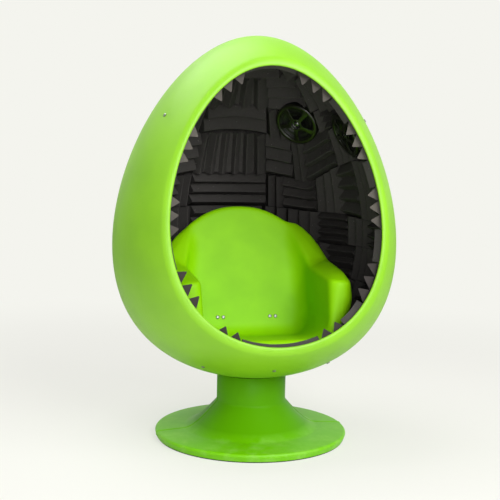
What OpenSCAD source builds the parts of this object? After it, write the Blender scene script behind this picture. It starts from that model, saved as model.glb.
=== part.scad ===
// Egg-shaped pod chair on a trumpet pedestal. Millimetres, +Z up, the chair faces -Y.
// The origin is on the floor under the pedestal axis.

/* [Egg shell] */
// Base radius of the egg before its shape factors
egg_radius = 523; // [480:1:560]
// Half the height of the egg
egg_half_h = 640; // [600:1:680]
// Height of the egg's lowest point above the floor
egg_low_z = 240; // [230:1:260]
// Wall of the moulded shell
shell_wall = 8; // [6:0.5:11]
// Radius of the rolled lip round the mouth
lip_radius = 11; // [8:0.5:13]
// Distance of the mouth's plane in front of the egg's middle, as a share of the radius
mouth_share = 0.6386; // [0.61:0.0001:0.67]
// Backward lean of the mouth's plane in degrees
mouth_lean = 10; // [6:0.5:14]

/* [Pedestal] */
// Radius of the foot
foot_radius = 367; // [340:1:390]
// Height of the foot's rolled edge
foot_edge_h = 32; // [28:1:40]
// Radius of the column
column_radius = 132; // [124:1:140]
// Height at which the flare runs into the column
flare_top_z = 142; // [130:1:160]
// Wall of the moulded pedestal
pedestal_wall = 7; // [5:0.5:9]
// Thickness of the rubber pad under the foot
pad_t = 4; // [3:0.5:6]
// Thickness of the steel ballast plate
ballast_t = 10; // [6:0.5:14]
// Radius of the steel ballast plate
ballast_radius = 290; // [240:1:310]
// Outer radius of the steel mast
mast_radius = 45; // [38:1:50]
// Wall of the mast tube
mast_wall = 4; // [3:0.5:6]
// Thickness of the mast's top plate and of the clamp plate in the shell
plate_t = 6; // [5:0.5:8]

/* [Swivel] */
// Outer radius of the ball bearing's races
race_radius = 105; // [98:1:110]
// Thickness of each race plate
race_t = 6; // [5:0.5:8]
// Radius of the bearing balls
ball_radius = 4.5; // [4:0.1:5]
// Number of bearing balls
ball_count = 24; // [16:1:28]
// Radius of the clamp plate inside the shell
clamp_radius = 126; // [118:1:130]
// Radius of the bolt circle
bolt_circle_r = 74; // [70:1:78]
// Radius of the mounting bolts
bolt_r = 4; // [3:0.5:5]

/* [Seat] */
// Heights are shares of half the egg's height, counted from its middle, and the
// widths and depths are shares of its radius, so the seat keeps its fit in the egg.
// Height of the pan's front edge
pan_front_rise = -0.7031; // [-0.72:0.0001:-0.68]
// Height of the pan at the backrest
pan_rear_rise = -0.7891; // [-0.805:0.0001:-0.773]
// Half the width of the seat's base
base_half_share = 0.478; // [0.45:0.0001:0.488]
// Where the front of the backrest meets the pan, behind the axis
back_foot_share = 0.1262; // [0.115:0.0001:0.143]
// Distance of the backrest's top behind the axis
back_top_share = 0.4685; // [0.45:0.0001:0.488]
// Height of the backrest's crown
back_top_rise = -0.0141; // [-0.047:0.0001:0.015]
// Height of the backrest's shoulders
shoulder_rise = -0.1281; // [-0.15:0.0001:-0.11]
// Half the width of the backrest between its shoulders
shoulder_half_share = 0.4245; // [0.4:0.0001:0.44]
// Height of the armrests
arm_top_rise = -0.3906; // [-0.42:0.0001:-0.36]
// Distance of the inner face of an armrest from the middle
arm_inner_share = 0.4551; // [0.44:0.0001:0.47]
// Distance of the outer face of an armrest from the middle
arm_outer_share = 0.631; // [0.61:0.0001:0.65]
// How far the armrests reach in front of the axis
arm_front_share = 0.4054; // [0.38:0.0001:0.43]
// Clearance between the foam ring and the seat's front
pan_clear = 8; // [5:0.5:14]
// Thickness of the hollow backrest
back_t = 40; // [36:1:46]
// Wall of the moulded seat
seat_wall = 6; // [5:0.5:8]

/* [Foam lining] */
// Depth of a foam wedge from the shell to its ridge
foam_depth = 50; // [42:1:54]
// Thickness of the foam under the wedges
foam_base = 12; // [8:1:16]
// Distance from ridge to ridge
wedge_pitch = 52; // [47:1:57]
// Depth of the foam ring behind the lip
ring_depth = 140; // [120:1:150]
// Depth of the foam ring in front of the seat
ring_depth_low = 66; // [60:1:70]

/* [Speakers] */
// Radius of the speaker grille
grille_radius = 90; // [84:1:94]
// Height of the rear speakers over the egg's middle, as a share of half its height
rear_speaker_rise = 0.556; // [0.54:0.0001:0.57]
// Angle of the rear speakers from straight back
rear_speaker_angle = 43; // [41:0.5:46]
// Height of the side speakers over the egg's middle, as a share of half its height
side_speaker_rise = 0.4844; // [0.46:0.0001:0.51]
// Angle of the side speakers from straight back
side_speaker_angle = 86; // [84:0.5:90]
// Height of a speaker from the back of its magnet to its flange
speaker_depth = 46; // [42:1:50]

/* [Hidden] */

// Gap between faces that seat on each other
seat_gap = 0.3;
// Running gap of the swivel's parts, and the gap in the foam's seams
run_gap = 3;
foam_gap = 0.95;
// Overrun of every cut
over = 1;
// Facets of true round parts
$fn = 72;
mesh_fn = 16;

// Shape of the egg: radius at u = -1 .. 1 as a share of egg_radius
taper_share = -0.21;
swell_share = 0.064;
skew_share = -0.035;
bisect_steps = 16;
egg_mid_z = egg_low_z + egg_half_h;
mouth_forward = egg_radius * mouth_share;
// Height at a share of half the egg's height over its middle
function egg_z(share) = egg_mid_z + egg_half_h * share;

function egg_share(u) =
  sqrt(max(0, 1 - u * u)) * (1 + u * (taper_share + u * (swell_share + u * skew_share)));
// Radius of the egg at height z, drawn in by inset
function egg_r(z, inset = 0) = (egg_radius - inset) * egg_share((z - egg_mid_z) / (egg_half_h - inset));
// Point of the drawn-in egg at a turn from straight back and a rise above its middle
function egg_point(turn, rise, inset) =
  let (r = (egg_radius - inset) * egg_share(sin(rise)))
  [r * sin(turn), r * cos(turn), egg_mid_z + (egg_half_h - inset) * sin(rise)];
function rise_at(z) = asin((z - egg_mid_z) / egg_half_h);
// How far a point lies outside the drawn-in egg, squared lengths compared
function egg_over(p, inset) =
  abs(p[2] - egg_mid_z) >= egg_half_h - inset ? 1
  : p[0] * p[0] + p[1] * p[1] - pow(egg_r(p[2], inset), 2);
// Distance from p along v to the drawn-in egg
function reach(p, v, inset, low = 0, high = 2 * egg_half_h, steps = bisect_steps) =
  let (mid = (low + high) / 2)
  steps == 0 ? mid
  : egg_over(p + mid * v, inset) > 0 ? reach(p, v, inset, low, mid, steps - 1)
  : reach(p, v, inset, mid, high, steps - 1);

// Frame of the mouth: its way in, its way up, its middle and the depth of the egg's core
mouth_in = [0, cos(mouth_lean), -sin(mouth_lean)];
mouth_up = [0, sin(mouth_lean), cos(mouth_lean)];
mouth_mid_share = 0.04;
mouth_mid_z = egg_mid_z + egg_half_h * mouth_mid_share;
mouth_mid = [0, -mouth_forward + tan(mouth_lean) * (mouth_mid_z - egg_mid_z), mouth_mid_z];
core_depth = mouth_forward;
// Point of the drawn-in egg at an angle round the mouth and a depth behind the mouth's plane
function round_mouth(angle, depth, inset) =
  let (v = [cos(angle), 0, 0] + sin(angle) * mouth_up, p = mouth_mid + depth * mouth_in)
  p + reach(p, v, inset) * v;
// Point of the drawn-in egg at an angle round the core and an opening from straight back
function behind_core(angle, opening, inset) =
  let (v = cos(opening) * mouth_in + sin(opening) * ([cos(angle), 0, 0] + sin(angle) * mouth_up),
       p = mouth_mid + core_depth * mouth_in)
  p + reach(p, v, inset) * v;

// Faces of a tube of rings closed by its own first and last ring
function ring_quads(rings, sides) = [
  for (i = [0:rings - 2], j = [0:sides - 1])
    let (a = i * sides + j, b = i * sides + (j + 1) % sides)
    each [[a, b + sides, b], [a, a + sides, b + sides]]
];

// The egg shell: from its rear pole out to the lip, round it and back inside.
// Its inner corners lie out by the sag of a facet, so that its flats reach the true wall.
shell_sides = 60;
shell_angle = 6;
sag_share = 1.25;
facet_sag = sag_share * pow(shell_angle * PI / 180, 2) * pow(egg_half_h, 3) / (8 * pow(egg_radius, 2));
inner_inset = shell_wall - facet_sag;
shell_depth_share = [0.8, 0.6, 0.42, 0.26, 0.14, 0.07];
lip_steps = 6;
lip_angle = 270;
shell_path = [
  for (opening = [shell_angle:shell_angle:90]) [1, opening, 0],
  for (share = shell_depth_share) [0, core_depth * share, 0],
  for (k = [0:lip_steps])
    let (a = lip_angle * k / lip_steps)
    [0, lip_radius * (1 - sin(a)), lip_radius * (1 - cos(a))],
  [0, 2 * lip_radius + facet_sag, inner_inset],
  for (k = [2:len(shell_depth_share)])
    [0, core_depth * shell_depth_share[len(shell_depth_share) - k], inner_inset],
  for (opening = [90:-shell_angle:shell_angle]) [1, opening, inner_inset]
];
module shell_body() {
  rings = len(shell_path);
  points = [
    for (step = shell_path, j = [0:shell_sides - 1])
      step[0] == 1 ? behind_core(360 * j / shell_sides, step[1], step[2])
      : round_mouth(360 * j / shell_sides, step[1], step[2])
  ];
  poles = [behind_core(0, 0, 0), behind_core(0, 0, inner_inset)];
  first = len(points);
  faces = concat(
    ring_quads(rings, shell_sides),
    [for (j = [0:shell_sides - 1]) [first, j, (j + 1) % shell_sides]],
    [for (j = [0:shell_sides - 1])
      let (base = (rings - 1) * shell_sides)
      [first + 1, base + (j + 1) % shell_sides, base + j]]
  );
  polyhedron(points = concat(points, poles), faces = faces, convexity = 8);
}

// Places of the screws in the shell: angle from straight back, and height
front_angle = 180;
shell_screw_share = -0.8719;
shell_screw_z = egg_z(shell_screw_share);
shell_screw_angle = 47;
liner_screw_share = 0.5219;
liner_screw_z = egg_z(liner_screw_share);
liner_screw_angle = 112;
shell_screw_places = [[front_angle, shell_screw_z], [front_angle - shell_screw_angle, shell_screw_z],
                      [front_angle + shell_screw_angle, shell_screw_z]];
liner_screw_places = [[liner_screw_angle, liner_screw_z], [-liner_screw_angle, liner_screw_z]];
screw_r = 3;
screw_head_r = 7;
screw_head_t = 3.5;
screw_clear = 0.5;
slope_step = 1;
// Leans z outward, square to the egg's outside
module at_egg(turn, z, inset = 0) {
  slope = (egg_r(z + slope_step) - egg_r(z - slope_step)) / (2 * slope_step);
  p = egg_point(turn, rise_at(z), inset);
  translate(p) rotate([0, 0, 90 - turn]) rotate([0, 90 + atan(slope), 0]) children();
}
module screw(length) {
  rotate_extrude() polygon([
    [0, -length], [screw_r, -length], [screw_r, seat_gap], [screw_head_r, seat_gap],
    [screw_head_r, seat_gap + screw_head_t / 3], [screw_head_r * 3 / 4, seat_gap + screw_head_t * 4 / 5],
    [0, seat_gap + screw_head_t]
  ]);
}
module screw_hole(length) {
  translate([0, 0, -length]) cylinder(r = screw_r + screw_clear, h = length + screw_head_t);
}

// Heights of the swivel's stack above the floor
ballast_top_z = pad_t + ballast_t;
saddle_rim_r = race_radius;
saddle_edge_t = 9;
upper_race_top_z = egg_mid_z - egg_half_h - saddle_edge_t / 2;
upper_race_z = upper_race_top_z - race_t;
ball_z = upper_race_z - run_gap / 4;
lower_race_top_z = ball_z - run_gap / 4;
lower_race_z = lower_race_top_z - race_t;
mast_plate_z = lower_race_z - plate_t;
ball_circle_r = race_radius - 3 * ball_radius;
bolt_angles = [45:90:315];
cable_r = 14;
column_top_z = low_z(column_radius, 0) - run_gap;
// Rise at which the egg's underside has a given radius
function rise_low(r, low = -90, high = -30, steps = bisect_steps) =
  let (mid = (low + high) / 2)
  steps == 0 ? mid
  : egg_radius * egg_share(sin(mid)) > r ? rise_low(r, low, mid, steps - 1)
  : rise_low(r, mid, high, steps - 1);

// Height of the drawn-in egg's underside at a radius
function low_z(r, inset) = egg_mid_z + (egg_half_h - inset) * sin(rise_low(r));

// Half section of the pedestal moulding, drawn in by inset on its outside
flare_steps = 14;
foot_slope_share = 0.6;
flare_turn_r = foot_radius * foot_slope_share;
foot_flat_z = foot_edge_h + pedestal_wall * 2;
foot_roll_share = 0.3;
foot_roll_r = foot_edge_h * foot_roll_share;
function flare_point(k, inset) =
  let (a = 90 * k / flare_steps, w = flare_turn_r - column_radius, h = flare_top_z - foot_flat_z)
  [column_radius + w * (1 - cos(a)) - inset * cos(a), flare_top_z - h * sin(a) - inset * sin(a)];
function foot_outline(inset, floor_z) = concat(
  [[column_radius - inset, column_top_z - inset / 2]],
  [for (k = [0:flare_steps]) flare_point(k, inset)],
  [for (a = [80:-20:-20])
    [foot_radius - foot_roll_r - inset / 3 + (foot_roll_r - inset * 2 / 3) * cos(a),
     foot_edge_h - foot_roll_r + (foot_roll_r - inset * 2 / 3) * sin(a)]],
  [[foot_radius - foot_roll_r * 2 / 3 - inset, floor_z]]
);
foot_flange_w = 22;

module pedestal_shell() {
  color("#6bb81c") rotate_extrude($fn = 120) difference() {
    polygon(concat([[0, pad_t]], [[0, column_top_z]], foot_outline(0, pad_t)));
    polygon(concat([[0, ballast_top_z + seat_gap]], [[0, column_top_z + over]],
      [[column_radius - pedestal_wall, column_top_z + over]],
      [for (k = [0:flare_steps]) flare_point(k, pedestal_wall)],
      [[foot_radius - foot_roll_r - pedestal_wall, foot_edge_h - foot_roll_r],
       [foot_radius - foot_roll_r - pedestal_wall, ballast_top_z + seat_gap]]));
    translate([0, pad_t - over]) square([ballast_radius + seat_gap, ballast_t + over + seat_gap * 2]);
  }
}
module floor_pad() {
  color("#1b1b1b") cylinder(r = foot_radius - foot_roll_r * 2 / 3 - run_gap, h = pad_t, $fn = 120);
}
ballast_screw_count = 6;
ballast_screw_circle = ballast_radius - foot_flange_w;
module ballast_plate() {
  color("#4a4d50") difference() {
    translate([0, 0, pad_t]) cylinder(r = ballast_radius, h = ballast_t, $fn = 96);
    translate([0, 0, pad_t - over]) cylinder(r = cable_r, h = ballast_t + 2 * over);
    for (k = [1:ballast_screw_count])
      rotate([0, 0, 360 * k / ballast_screw_count])
        translate([ballast_screw_circle, 0, pad_t - over])
          cylinder(r = screw_r + screw_clear, h = ballast_t + 2 * over, $fn = 24);
  }
}
module ballast_screws() {
  color("silver") for (k = [1:ballast_screw_count])
    rotate([0, 0, 360 * k / ballast_screw_count]) translate([ballast_screw_circle, 0, ballast_top_z])
      screw(ballast_t - over, $fn = 24);
}
module mast_tube() {
  color("#3c3f42") translate([0, 0, ballast_top_z]) difference() {
    cylinder(r = mast_radius, h = mast_plate_z - ballast_top_z);
    translate([0, 0, -over]) cylinder(r = mast_radius - mast_wall, h = mast_plate_z);
  }
}
gusset_w_share = 1.3;
gusset_h_share = 0.5;
gusset_w = mast_radius * gusset_w_share;
gusset_h = (mast_plate_z - ballast_top_z) * gusset_h_share;
module mast_gussets() {
  color("#3c3f42") for (a = bolt_angles) rotate([0, 0, a])
    translate([mast_radius + seat_gap, mast_wall / 2, ballast_top_z]) rotate([90, 0, 0])
      linear_extrude(mast_wall) polygon([[0, 0], [gusset_w, 0], [gusset_w, mast_wall],
        [mast_wall, gusset_h], [0, gusset_h]]);
}
module bolt_holes(z, h) {
  for (a = bolt_angles) rotate([0, 0, a]) translate([bolt_circle_r, 0, z - over])
    cylinder(r = bolt_r + screw_clear, h = h + 2 * over, $fn = 32);
}
module mast_top_plate() {
  color("#3c3f42") difference() {
    translate([0, 0, mast_plate_z]) cylinder(r = race_radius, h = plate_t);
    translate([0, 0, mast_plate_z - over]) cylinder(r = cable_r, h = plate_t + 2 * over);
    bolt_holes(mast_plate_z, plate_t);
  }
}
module race(z, groove_z) {
  difference() {
    translate([0, 0, z]) cylinder(r = race_radius, h = race_t);
    translate([0, 0, z - over]) cylinder(r = cable_r * 2, h = race_t + 2 * over);
    translate([0, 0, ball_z]) rotate_extrude()
      translate([ball_circle_r, 0]) circle(r = ball_radius + seat_gap, $fn = 32);
    bolt_holes(z, race_t);
  }
}
module swivel_lower_race() {
  color("#8d9195") race(lower_race_z);
}
module swivel_upper_race() {
  color("#8d9195") race(upper_race_z);
}
module swivel_balls() {
  color("silver") for (k = [1:ball_count]) rotate([0, 0, 360 * k / ball_count])
    translate([ball_circle_r, 0, ball_z]) sphere(r = ball_radius, $fn = 24);
}
// Underside of the egg as an outline, drawn in or out by inset, up to a radius
function under_egg(r, inset, steps = 10) = [
  for (k = [0:steps])
    let (rise = -90 + (rise_low(r) + 90) * k / steps, p = egg_point(90, rise, inset)) [p[0], p[2]]
];
module pod_saddle() {
  color("#2c2e30") difference() {
    rotate_extrude() polygon(concat([[0, upper_race_top_z]], under_egg(saddle_rim_r, -seat_gap),
      [[saddle_rim_r, upper_race_top_z]]));
    translate([0, 0, upper_race_top_z - over]) cylinder(r = cable_r, h = saddle_edge_t * 2);
    bolt_holes(upper_race_top_z, saddle_edge_t * 2);
  }
}
shell_bottom_z = egg_mid_z - egg_half_h;
clamp_top_z = low_z(clamp_radius, shell_wall) + plate_t;
module pod_clamp_plate() {
  color("#8d9195") difference() {
    rotate_extrude() polygon(concat([[0, clamp_top_z]], under_egg(clamp_radius, shell_wall + seat_gap),
      [[clamp_radius, clamp_top_z]]));
    translate([0, 0, shell_bottom_z]) cylinder(r = cable_r, h = clamp_top_z + over - shell_bottom_z);
    bolt_holes(shell_bottom_z, clamp_top_z - shell_bottom_z);
  }
}
bolt_head_shares = [1.7, 1.4];
bolt_head_r = bolt_r * bolt_head_shares[0];
bolt_head_t = bolt_r * bolt_head_shares[1];
module mount_bolts() {
  color("silver") for (a = bolt_angles) rotate([0, 0, a]) translate([bolt_circle_r, 0, 0]) {
    translate([0, 0, upper_race_z + race_t / 3])
      cylinder(r = bolt_r, h = clamp_top_z - upper_race_z, $fn = 32);
    translate([0, 0, clamp_top_z]) cylinder(r = bolt_head_r, h = bolt_head_t, $fn = 6);
  }
}
module pod_shell() {
  color("#8fd035") difference() {
    shell_body();
    bolt_holes(shell_bottom_z, clamp_top_z - shell_bottom_z);
    translate([0, 0, shell_bottom_z - over]) cylinder(r = cable_r, h = shell_wall * 2, $fn = 32);
    for (place = concat(shell_screw_places, liner_screw_places))
      at_egg(place[0], place[1]) screw_hole(shell_wall * 2, $fn = 24);
  }
}

// The seat: hulls of balls, so that a second, smaller set of balls hollows it evenly
pan_front_z = egg_z(pan_front_rise);
pan_rear_z = egg_z(pan_rear_rise);
back_top_z = egg_z(back_top_rise);
shoulder_z = egg_z(shoulder_rise);
arm_top_z = egg_z(arm_top_rise);
base_half_w = egg_radius * base_half_share;
back_foot_y = egg_radius * back_foot_share;
back_top_y = egg_radius * back_top_share;
shoulder_half_w = egg_radius * shoulder_half_share;
arm_inner_x = egg_radius * arm_inner_share;
arm_outer_x = egg_radius * arm_outer_share;
arm_front_y = egg_radius * arm_front_share;
pan_front_y = mouth_forward + tan(mouth_lean) * (egg_mid_z - pan_front_z)
  - ring_depth_low / cos(mouth_lean) - pan_clear;
pan_r = 28;
back_r = back_t / 2;
edge_r = 16;
arm_r = 22;
module balls(places, r, wall, mirrored = true) {
  hull() for (p = places, side = mirrored ? [-1, 1] : [1])
    translate([p[0] * side, p[1], p[2]]) sphere(r = r - wall, $fn = wall > 0 ? mesh_fn / 2 : mesh_fn);
}
back_lean = atan((back_top_y - back_foot_y) / (back_top_z - pan_rear_z));
// Front face of the backrest at a height, and the middle of a ball of radius r that touches it
function back_y(z) = back_foot_y + (z - pan_rear_z) * tan(back_lean);
function behind_back(z, r) = back_y(z) + r / cos(back_lean);
seat_low_z = clamp_top_z + bolt_head_t * 3;
arch_share = [0.72, 0.26];
back_low_z = pan_rear_z - pan_r - back_r;
arch_drop_share = 1.45;
arch_z = (shoulder_z + back_top_z) / 2 - back_r * arch_drop_share;
crown_z = back_top_z - back_r;
arm_low_z = (arm_top_z + pan_front_z) / 2 - 2 * arm_r;
// Middles of the wing's balls on the right: width and depth by the egg's radius, and height share
wing_shares = [
  [0.405, 0.4436, -0.1594], [0.4685, 0.4704, -0.1547], [0.5163, 0.4589, -0.1844],
  [0.5966, 0.4245, -0.2719], [0.6329, 0.3155, -0.3438], [0.6329, 0.2294, -0.375],
  [0.501, 0.2447, -0.3813], [0.501, 0.2677, -0.6719], [0.5927, 0.3059, -0.5938]
];
module seat_form(wall) {
  balls([
    [base_half_w - pan_r, pan_r - pan_front_y, pan_front_z - pan_r],
    [base_half_w - pan_r, back_foot_y, pan_rear_z - pan_r],
    [base_half_w - pan_r, 2 * pan_r - pan_front_y, seat_low_z + pan_r],
    [base_half_w - pan_r, back_foot_y, seat_low_z + pan_r]
  ], pan_r, wall);
  balls([
    [shoulder_half_w - back_r, behind_back(back_low_z, back_r), back_low_z],
    [shoulder_half_w - back_r, behind_back(shoulder_z - back_r, back_r), shoulder_z - back_r],
    [shoulder_half_w * arch_share[0], behind_back(arch_z, back_r), arch_z],
    [shoulder_half_w * arch_share[1], behind_back(crown_z, back_r), crown_z]
  ], back_r, wall);
  for (side = [-1, 1]) {
    // Wing between the backrest and the armrest: an ear that leans out as it comes down
    balls([
      for (p = wing_shares) [side * p[0] * egg_radius, p[1] * egg_radius, egg_z(p[2])]
    ], edge_r, wall, false);
    // Armrest
    balls([
      [side * (arm_inner_x + arm_r), arm_r - arm_front_y, arm_top_z - arm_r * 5 / 4],
      [side * (arm_outer_x - arm_r), arm_r * 3 / 2 - arm_front_y, arm_top_z - arm_r * 2],
      [side * (arm_inner_x + arm_r), back_foot_y + back_r, arm_top_z - arm_r / 3],
      [side * (arm_outer_x - arm_r / 4), back_foot_y + back_r, arm_top_z - arm_r / 8],
      [side * (arm_inner_x + arm_r), arm_r - arm_front_y, arm_low_z],
      [side * (arm_outer_x - arm_r), arm_r * 3 / 2 - arm_front_y, arm_low_z + arm_r * 3],
      [side * (arm_outer_x - arm_r * 4 / 3), arm_r * 3 / 2 - arm_front_y, arm_low_z + arm_r * 3 / 2],
      [side * (arm_outer_x - arm_r), back_foot_y + back_r, arm_low_z + arm_r * 3],
      [side * (arm_outer_x - arm_r * 4 / 3), back_foot_y + back_r, arm_low_z + arm_r * 3 / 2]
    ], arm_r, wall, false);
    // Skirt from the armrest down to the base
    balls([
      [side * (arm_inner_x + arm_r), arm_r - arm_front_y, arm_low_z],
      [side * (arm_outer_x - 3 * arm_r), arm_r * 3 / 2 - arm_front_y, arm_low_z - arm_r / 3],
      [side * (arm_outer_x - 3 * arm_r), back_foot_y + back_r, arm_low_z - arm_r / 3],
      [side * (base_half_w - pan_r), arm_r - arm_front_y, pan_rear_z - pan_r],
      [side * (base_half_w - pan_r), back_foot_y, pan_rear_z - pan_r]
    ], arm_r, wall, false);
  }
}
module egg_solid(inset) {
  rotate_extrude($fn = 64) polygon([
    for (rise = [-90:9:90]) let (p = egg_point(90, rise, inset)) [max(0, p[0]), p[2]]
  ]);
}
seat_screw_shares = [0.376, 0.468];
seat_screw_inner_x = base_half_w * seat_screw_shares[0];
seat_screw_outer_x = base_half_w * seat_screw_shares[1];
seat_screw_rise = -0.678;
seat_screw_z = egg_z(seat_screw_rise);
seat_screw_y = back_y(seat_screw_z);
module at_seat_screws() {
  for (side = [-1, 1], x = [seat_screw_inner_x, seat_screw_outer_x])
    translate([side * x, seat_screw_y, seat_screw_z]) rotate([90 - back_lean, 0, 0]) children();
}
module seat_shell() {
  color("#7fd11f") difference() {
    intersection() {
      seat_form(0);
      egg_solid(shell_wall + seat_gap);
    }
    intersection() {
      seat_form(seat_wall);
      egg_solid(shell_wall + seat_wall);
    }
    translate([0, 0, seat_low_z - over]) cylinder(r = race_radius * 2, h = seat_wall * 2);
    at_seat_screws() screw_hole(back_r * 2, $fn = 16);
    for (place = shell_screw_places) at_egg(place[0], place[1]) screw_hole(shell_wall * 4, $fn = 16);
  }
}
bracket_w = 52;
bracket_t = 4;
bracket_foot_share = 0.7;
bracket_foot = back_foot_y * bracket_foot_share;
module seat_bracket(side) {
  foot_y = bracket_foot;
  tab_y = seat_screw_y + (seat_wall + 2 * seat_gap) / cos(back_lean);
  tab = bracket_w / 3;
  dy = tab * tan(back_lean);
  color("#8d9195")
    translate([side * (seat_screw_inner_x + seat_screw_outer_x) / 2 - bracket_w / 2, 0, 0])
      rotate([90, 0, 90]) linear_extrude(bracket_w) polygon([
        [foot_y - bracket_foot / 2, clamp_top_z], [foot_y + bracket_foot / 2, clamp_top_z],
        [tab_y - dy + bracket_t, seat_screw_z - tab], [tab_y + dy + bracket_t, seat_screw_z + tab],
        [tab_y + dy, seat_screw_z + tab], [tab_y - dy, seat_screw_z - tab],
        [foot_y + bracket_foot / 2 - bracket_t * 2, clamp_top_z + bracket_t],
        [foot_y - bracket_foot / 2, clamp_top_z + bracket_t]
      ]);
}
module seat_bracket_left() {
  seat_bracket(-1);
}
module seat_bracket_right() {
  seat_bracket(1);
}
module seat_screws() {
  color("silver") at_seat_screws() screw(seat_wall, $fn = 24);
}
module shell_screws() {
  color("silver") for (place = shell_screw_places) at_egg(place[0], place[1])
    screw(shell_wall + seat_wall, $fn = 24);
}
module liner_screws() {
  color("silver") for (place = liner_screw_places) at_egg(place[0], place[1])
    screw(shell_wall, $fn = 24);
}

// Foam tiles: a comb of wedges, carried over the egg's inside by a mapping
// The foam's back clears the shell's flats, which sag more towards the narrow top
top_sag_share = 1.7;
function foam_inset(height_share) =
  shell_wall + seat_gap + facet_sag * top_sag_share * pow(max(0, height_share), 3);
ridge_share = 0.5;
// One tile as [across, along, height] with across and along from 0 to 1
function tile_section(count) = concat(
  [for (k = [0:count]) [k / count, 0]],
  [for (k = [0:count]) [1 - k / count, foam_base]],
  [for (k = [0:count - 1]) [1 - (k + ridge_share) / count, foam_depth]]
);
// Outline order: base, valleys and ridges
function tile_loop(count) = concat(
  [for (k = [0:count]) k],
  [for (k = [0:count - 1]) each [count + 1 + k, 2 * (count + 1) + k]],
  [2 * count + 1]
);
function tile_faces(count, steps) =
  let (m = 3 * count + 2, loop = tile_loop(count), n = len(loop), end = steps * m)
  concat(
    [for (s = [0:steps - 1], i = [0:n - 1])
      let (a = s * m + loop[i], b = s * m + loop[(i + 1) % n])
      each [[a, b, b + m], [a, b + m, a + m]]],
    [for (k = [0:count - 1])
      let (v0 = 2 * count + 1 - k, v1 = v0 - 1, ridge = 3 * count + 1 - k)
      each [[k, v0, v1], [k, v1, k + 1], [v0, ridge, v1],
            [end + k, end + v1, end + v0], [end + k, end + k + 1, end + v1],
            [end + v0, end + v1, end + ridge]]]
  );
// A cell is [kind, from turn, to turn, from rise, to rise, wedges]; kind 0 stands, kind 1 lies
function ring_edge(rise, inset) =
  let (p = egg_point(90, rise, inset),
       y = (ring_depth + foam_gap + sin(mouth_lean) * (p[2] - egg_mid_z)) / cos(mouth_lean) - mouth_forward)
  acos(max(-1, min(1, y / max(over, p[0]))));
edge_angle = 200;
// The cell's turn at a rise: edge_angle stands for the seam with the foam ring
function cell_turn(turn, rise, inset) =
  abs(turn) < edge_angle ? turn : sign(turn) * ring_edge(rise, inset);
// The seams widen a little towards the top, where the tiles' flats sag most
top_gap_share = 0.6;
function cell_point(cell, across, along, h) =
  let (u = cell[0] == 0 ? across : along, w = cell[0] == 0 ? along : across,
       r = egg_radius * egg_share(sin((cell[3] + cell[4]) / 2)),
       rise_gap = foam_gap / 2 * (1 + top_gap_share * pow(max(0, sin(cell[3])), 3))
         / egg_half_h * 180 / PI,
       rise = cell[3] + rise_gap + (cell[4] - cell[3] - 2 * rise_gap) * w,
       gap = foam_gap / 2 / r * 180 / PI,
       inset = foam_inset(sin(rise)) + h,
       low = cell_turn(cell[1], rise, inset) + gap,
       high = cell_turn(cell[2], rise, inset) - gap)
  egg_point(low + (high - low) * u, rise, inset);
// Steps along a tile's wedges: a lying tile bends with the egg
step_angle = 9;
function tile_steps(cell) =
  cell[0] == 0 ? 2
  : max(abs(cell[1]), abs(cell[2])) >= edge_angle ? 3
  : max(2, ceil((cell[2] - cell[1]) / step_angle));
module foam_tiles(cells) {
  sections = [for (cell = cells) tile_section(cell[5])];
  steps = [for (cell = cells) tile_steps(cell)];
  points = [for (c = [0:len(cells) - 1], s = [0:steps[c]], q = sections[c])
    cell_point(cells[c], q[0], s / steps[c], q[1])];
  starts = [for (c = 0, at = 0; c < len(cells); at = at + (steps[c] + 1) * len(sections[c]), c = c + 1) at];
  faces = [for (c = [0:len(cells) - 1], f = tile_faces(cells[c][5], steps[c]))
    let (flip = cells[c][0] == 0)
    flip ? [f[0] + starts[c], f[1] + starts[c], f[2] + starts[c]]
    : [f[2] + starts[c], f[1] + starts[c], f[0] + starts[c]]];
  color("#2f2d2c") polyhedron(points = points, faces = faces, convexity = 6);
}
// Both sides of a row from its cells on the right; the first stands across the middle
function both_sides(row, middle, cells) =
  let (rise_low = row_angles[row - 1], rise_high = row_angles[row]) concat(
  [[middle[0], -middle[1], middle[1], rise_low, rise_high, middle[2]]],
  [for (c = cells) [c[0], c[1], c[2], rise_low, rise_high, c[3]]],
  [for (c = cells) [c[0], -c[2], -c[1], rise_low, rise_high, c[3]]]
);
// Angles of the seams between the rows, above the egg's middle
row_angles = [-44, -30, -16, -2, 11, 27.5, 39.5, 57, 74];
row_1 = both_sides(1, [1, 21, 3],
  [[0, 21, 42, 3], [1, 42, 63, 3], [0, 63, 84, 3], [1, 84, edge_angle, 3]]);
row_2 = both_sides(2, [0, 18, 6],
  [[1, 18, 36, 3], [0, 36, 54, 3], [1, 54, 72, 3], [0, 72, 90, 3], [1, 90, edge_angle, 3]]);
row_3 = both_sides(3, [1, 18, 3],
  [[0, 18, 30, 2], [0, 30, 48, 3], [1, 48, 66, 4], [0, 66, 84, 3], [1, 84, edge_angle, 3]]);
row_4 = both_sides(4, [1, 20, 3],
  [[0, 20, 29, 2], [1, 29, 47, 3], [0, 47, 63, 3], [1, 63, 77, 4], [0, 77, 96, 3],
   [1, 96, edge_angle, 2]]);
row_5 = both_sides(5, [0, 20, 6],
  [[1, 20, 35, 3], [0, 35, 43, 2], [1, 43, 64, 3], [0, 64, 82, 3], [1, 82, edge_angle, 4]]);
row_6 = both_sides(6, [1, 21, 2],
  [[0, 21, 42, 3], [0, 42, 64, 3], [1, 64, 86, 3], [0, 86, edge_angle, 4]]);
row_7 = both_sides(7, [0, 23, 4],
  [[1, 23, 53, 3], [0, 53, 84, 3], [1, 84, edge_angle, 3]]);
row_8 = both_sides(8, [1, 40, 3], [[0, 40, 80, 2], [1, 80, edge_angle, 3]]);

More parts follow.
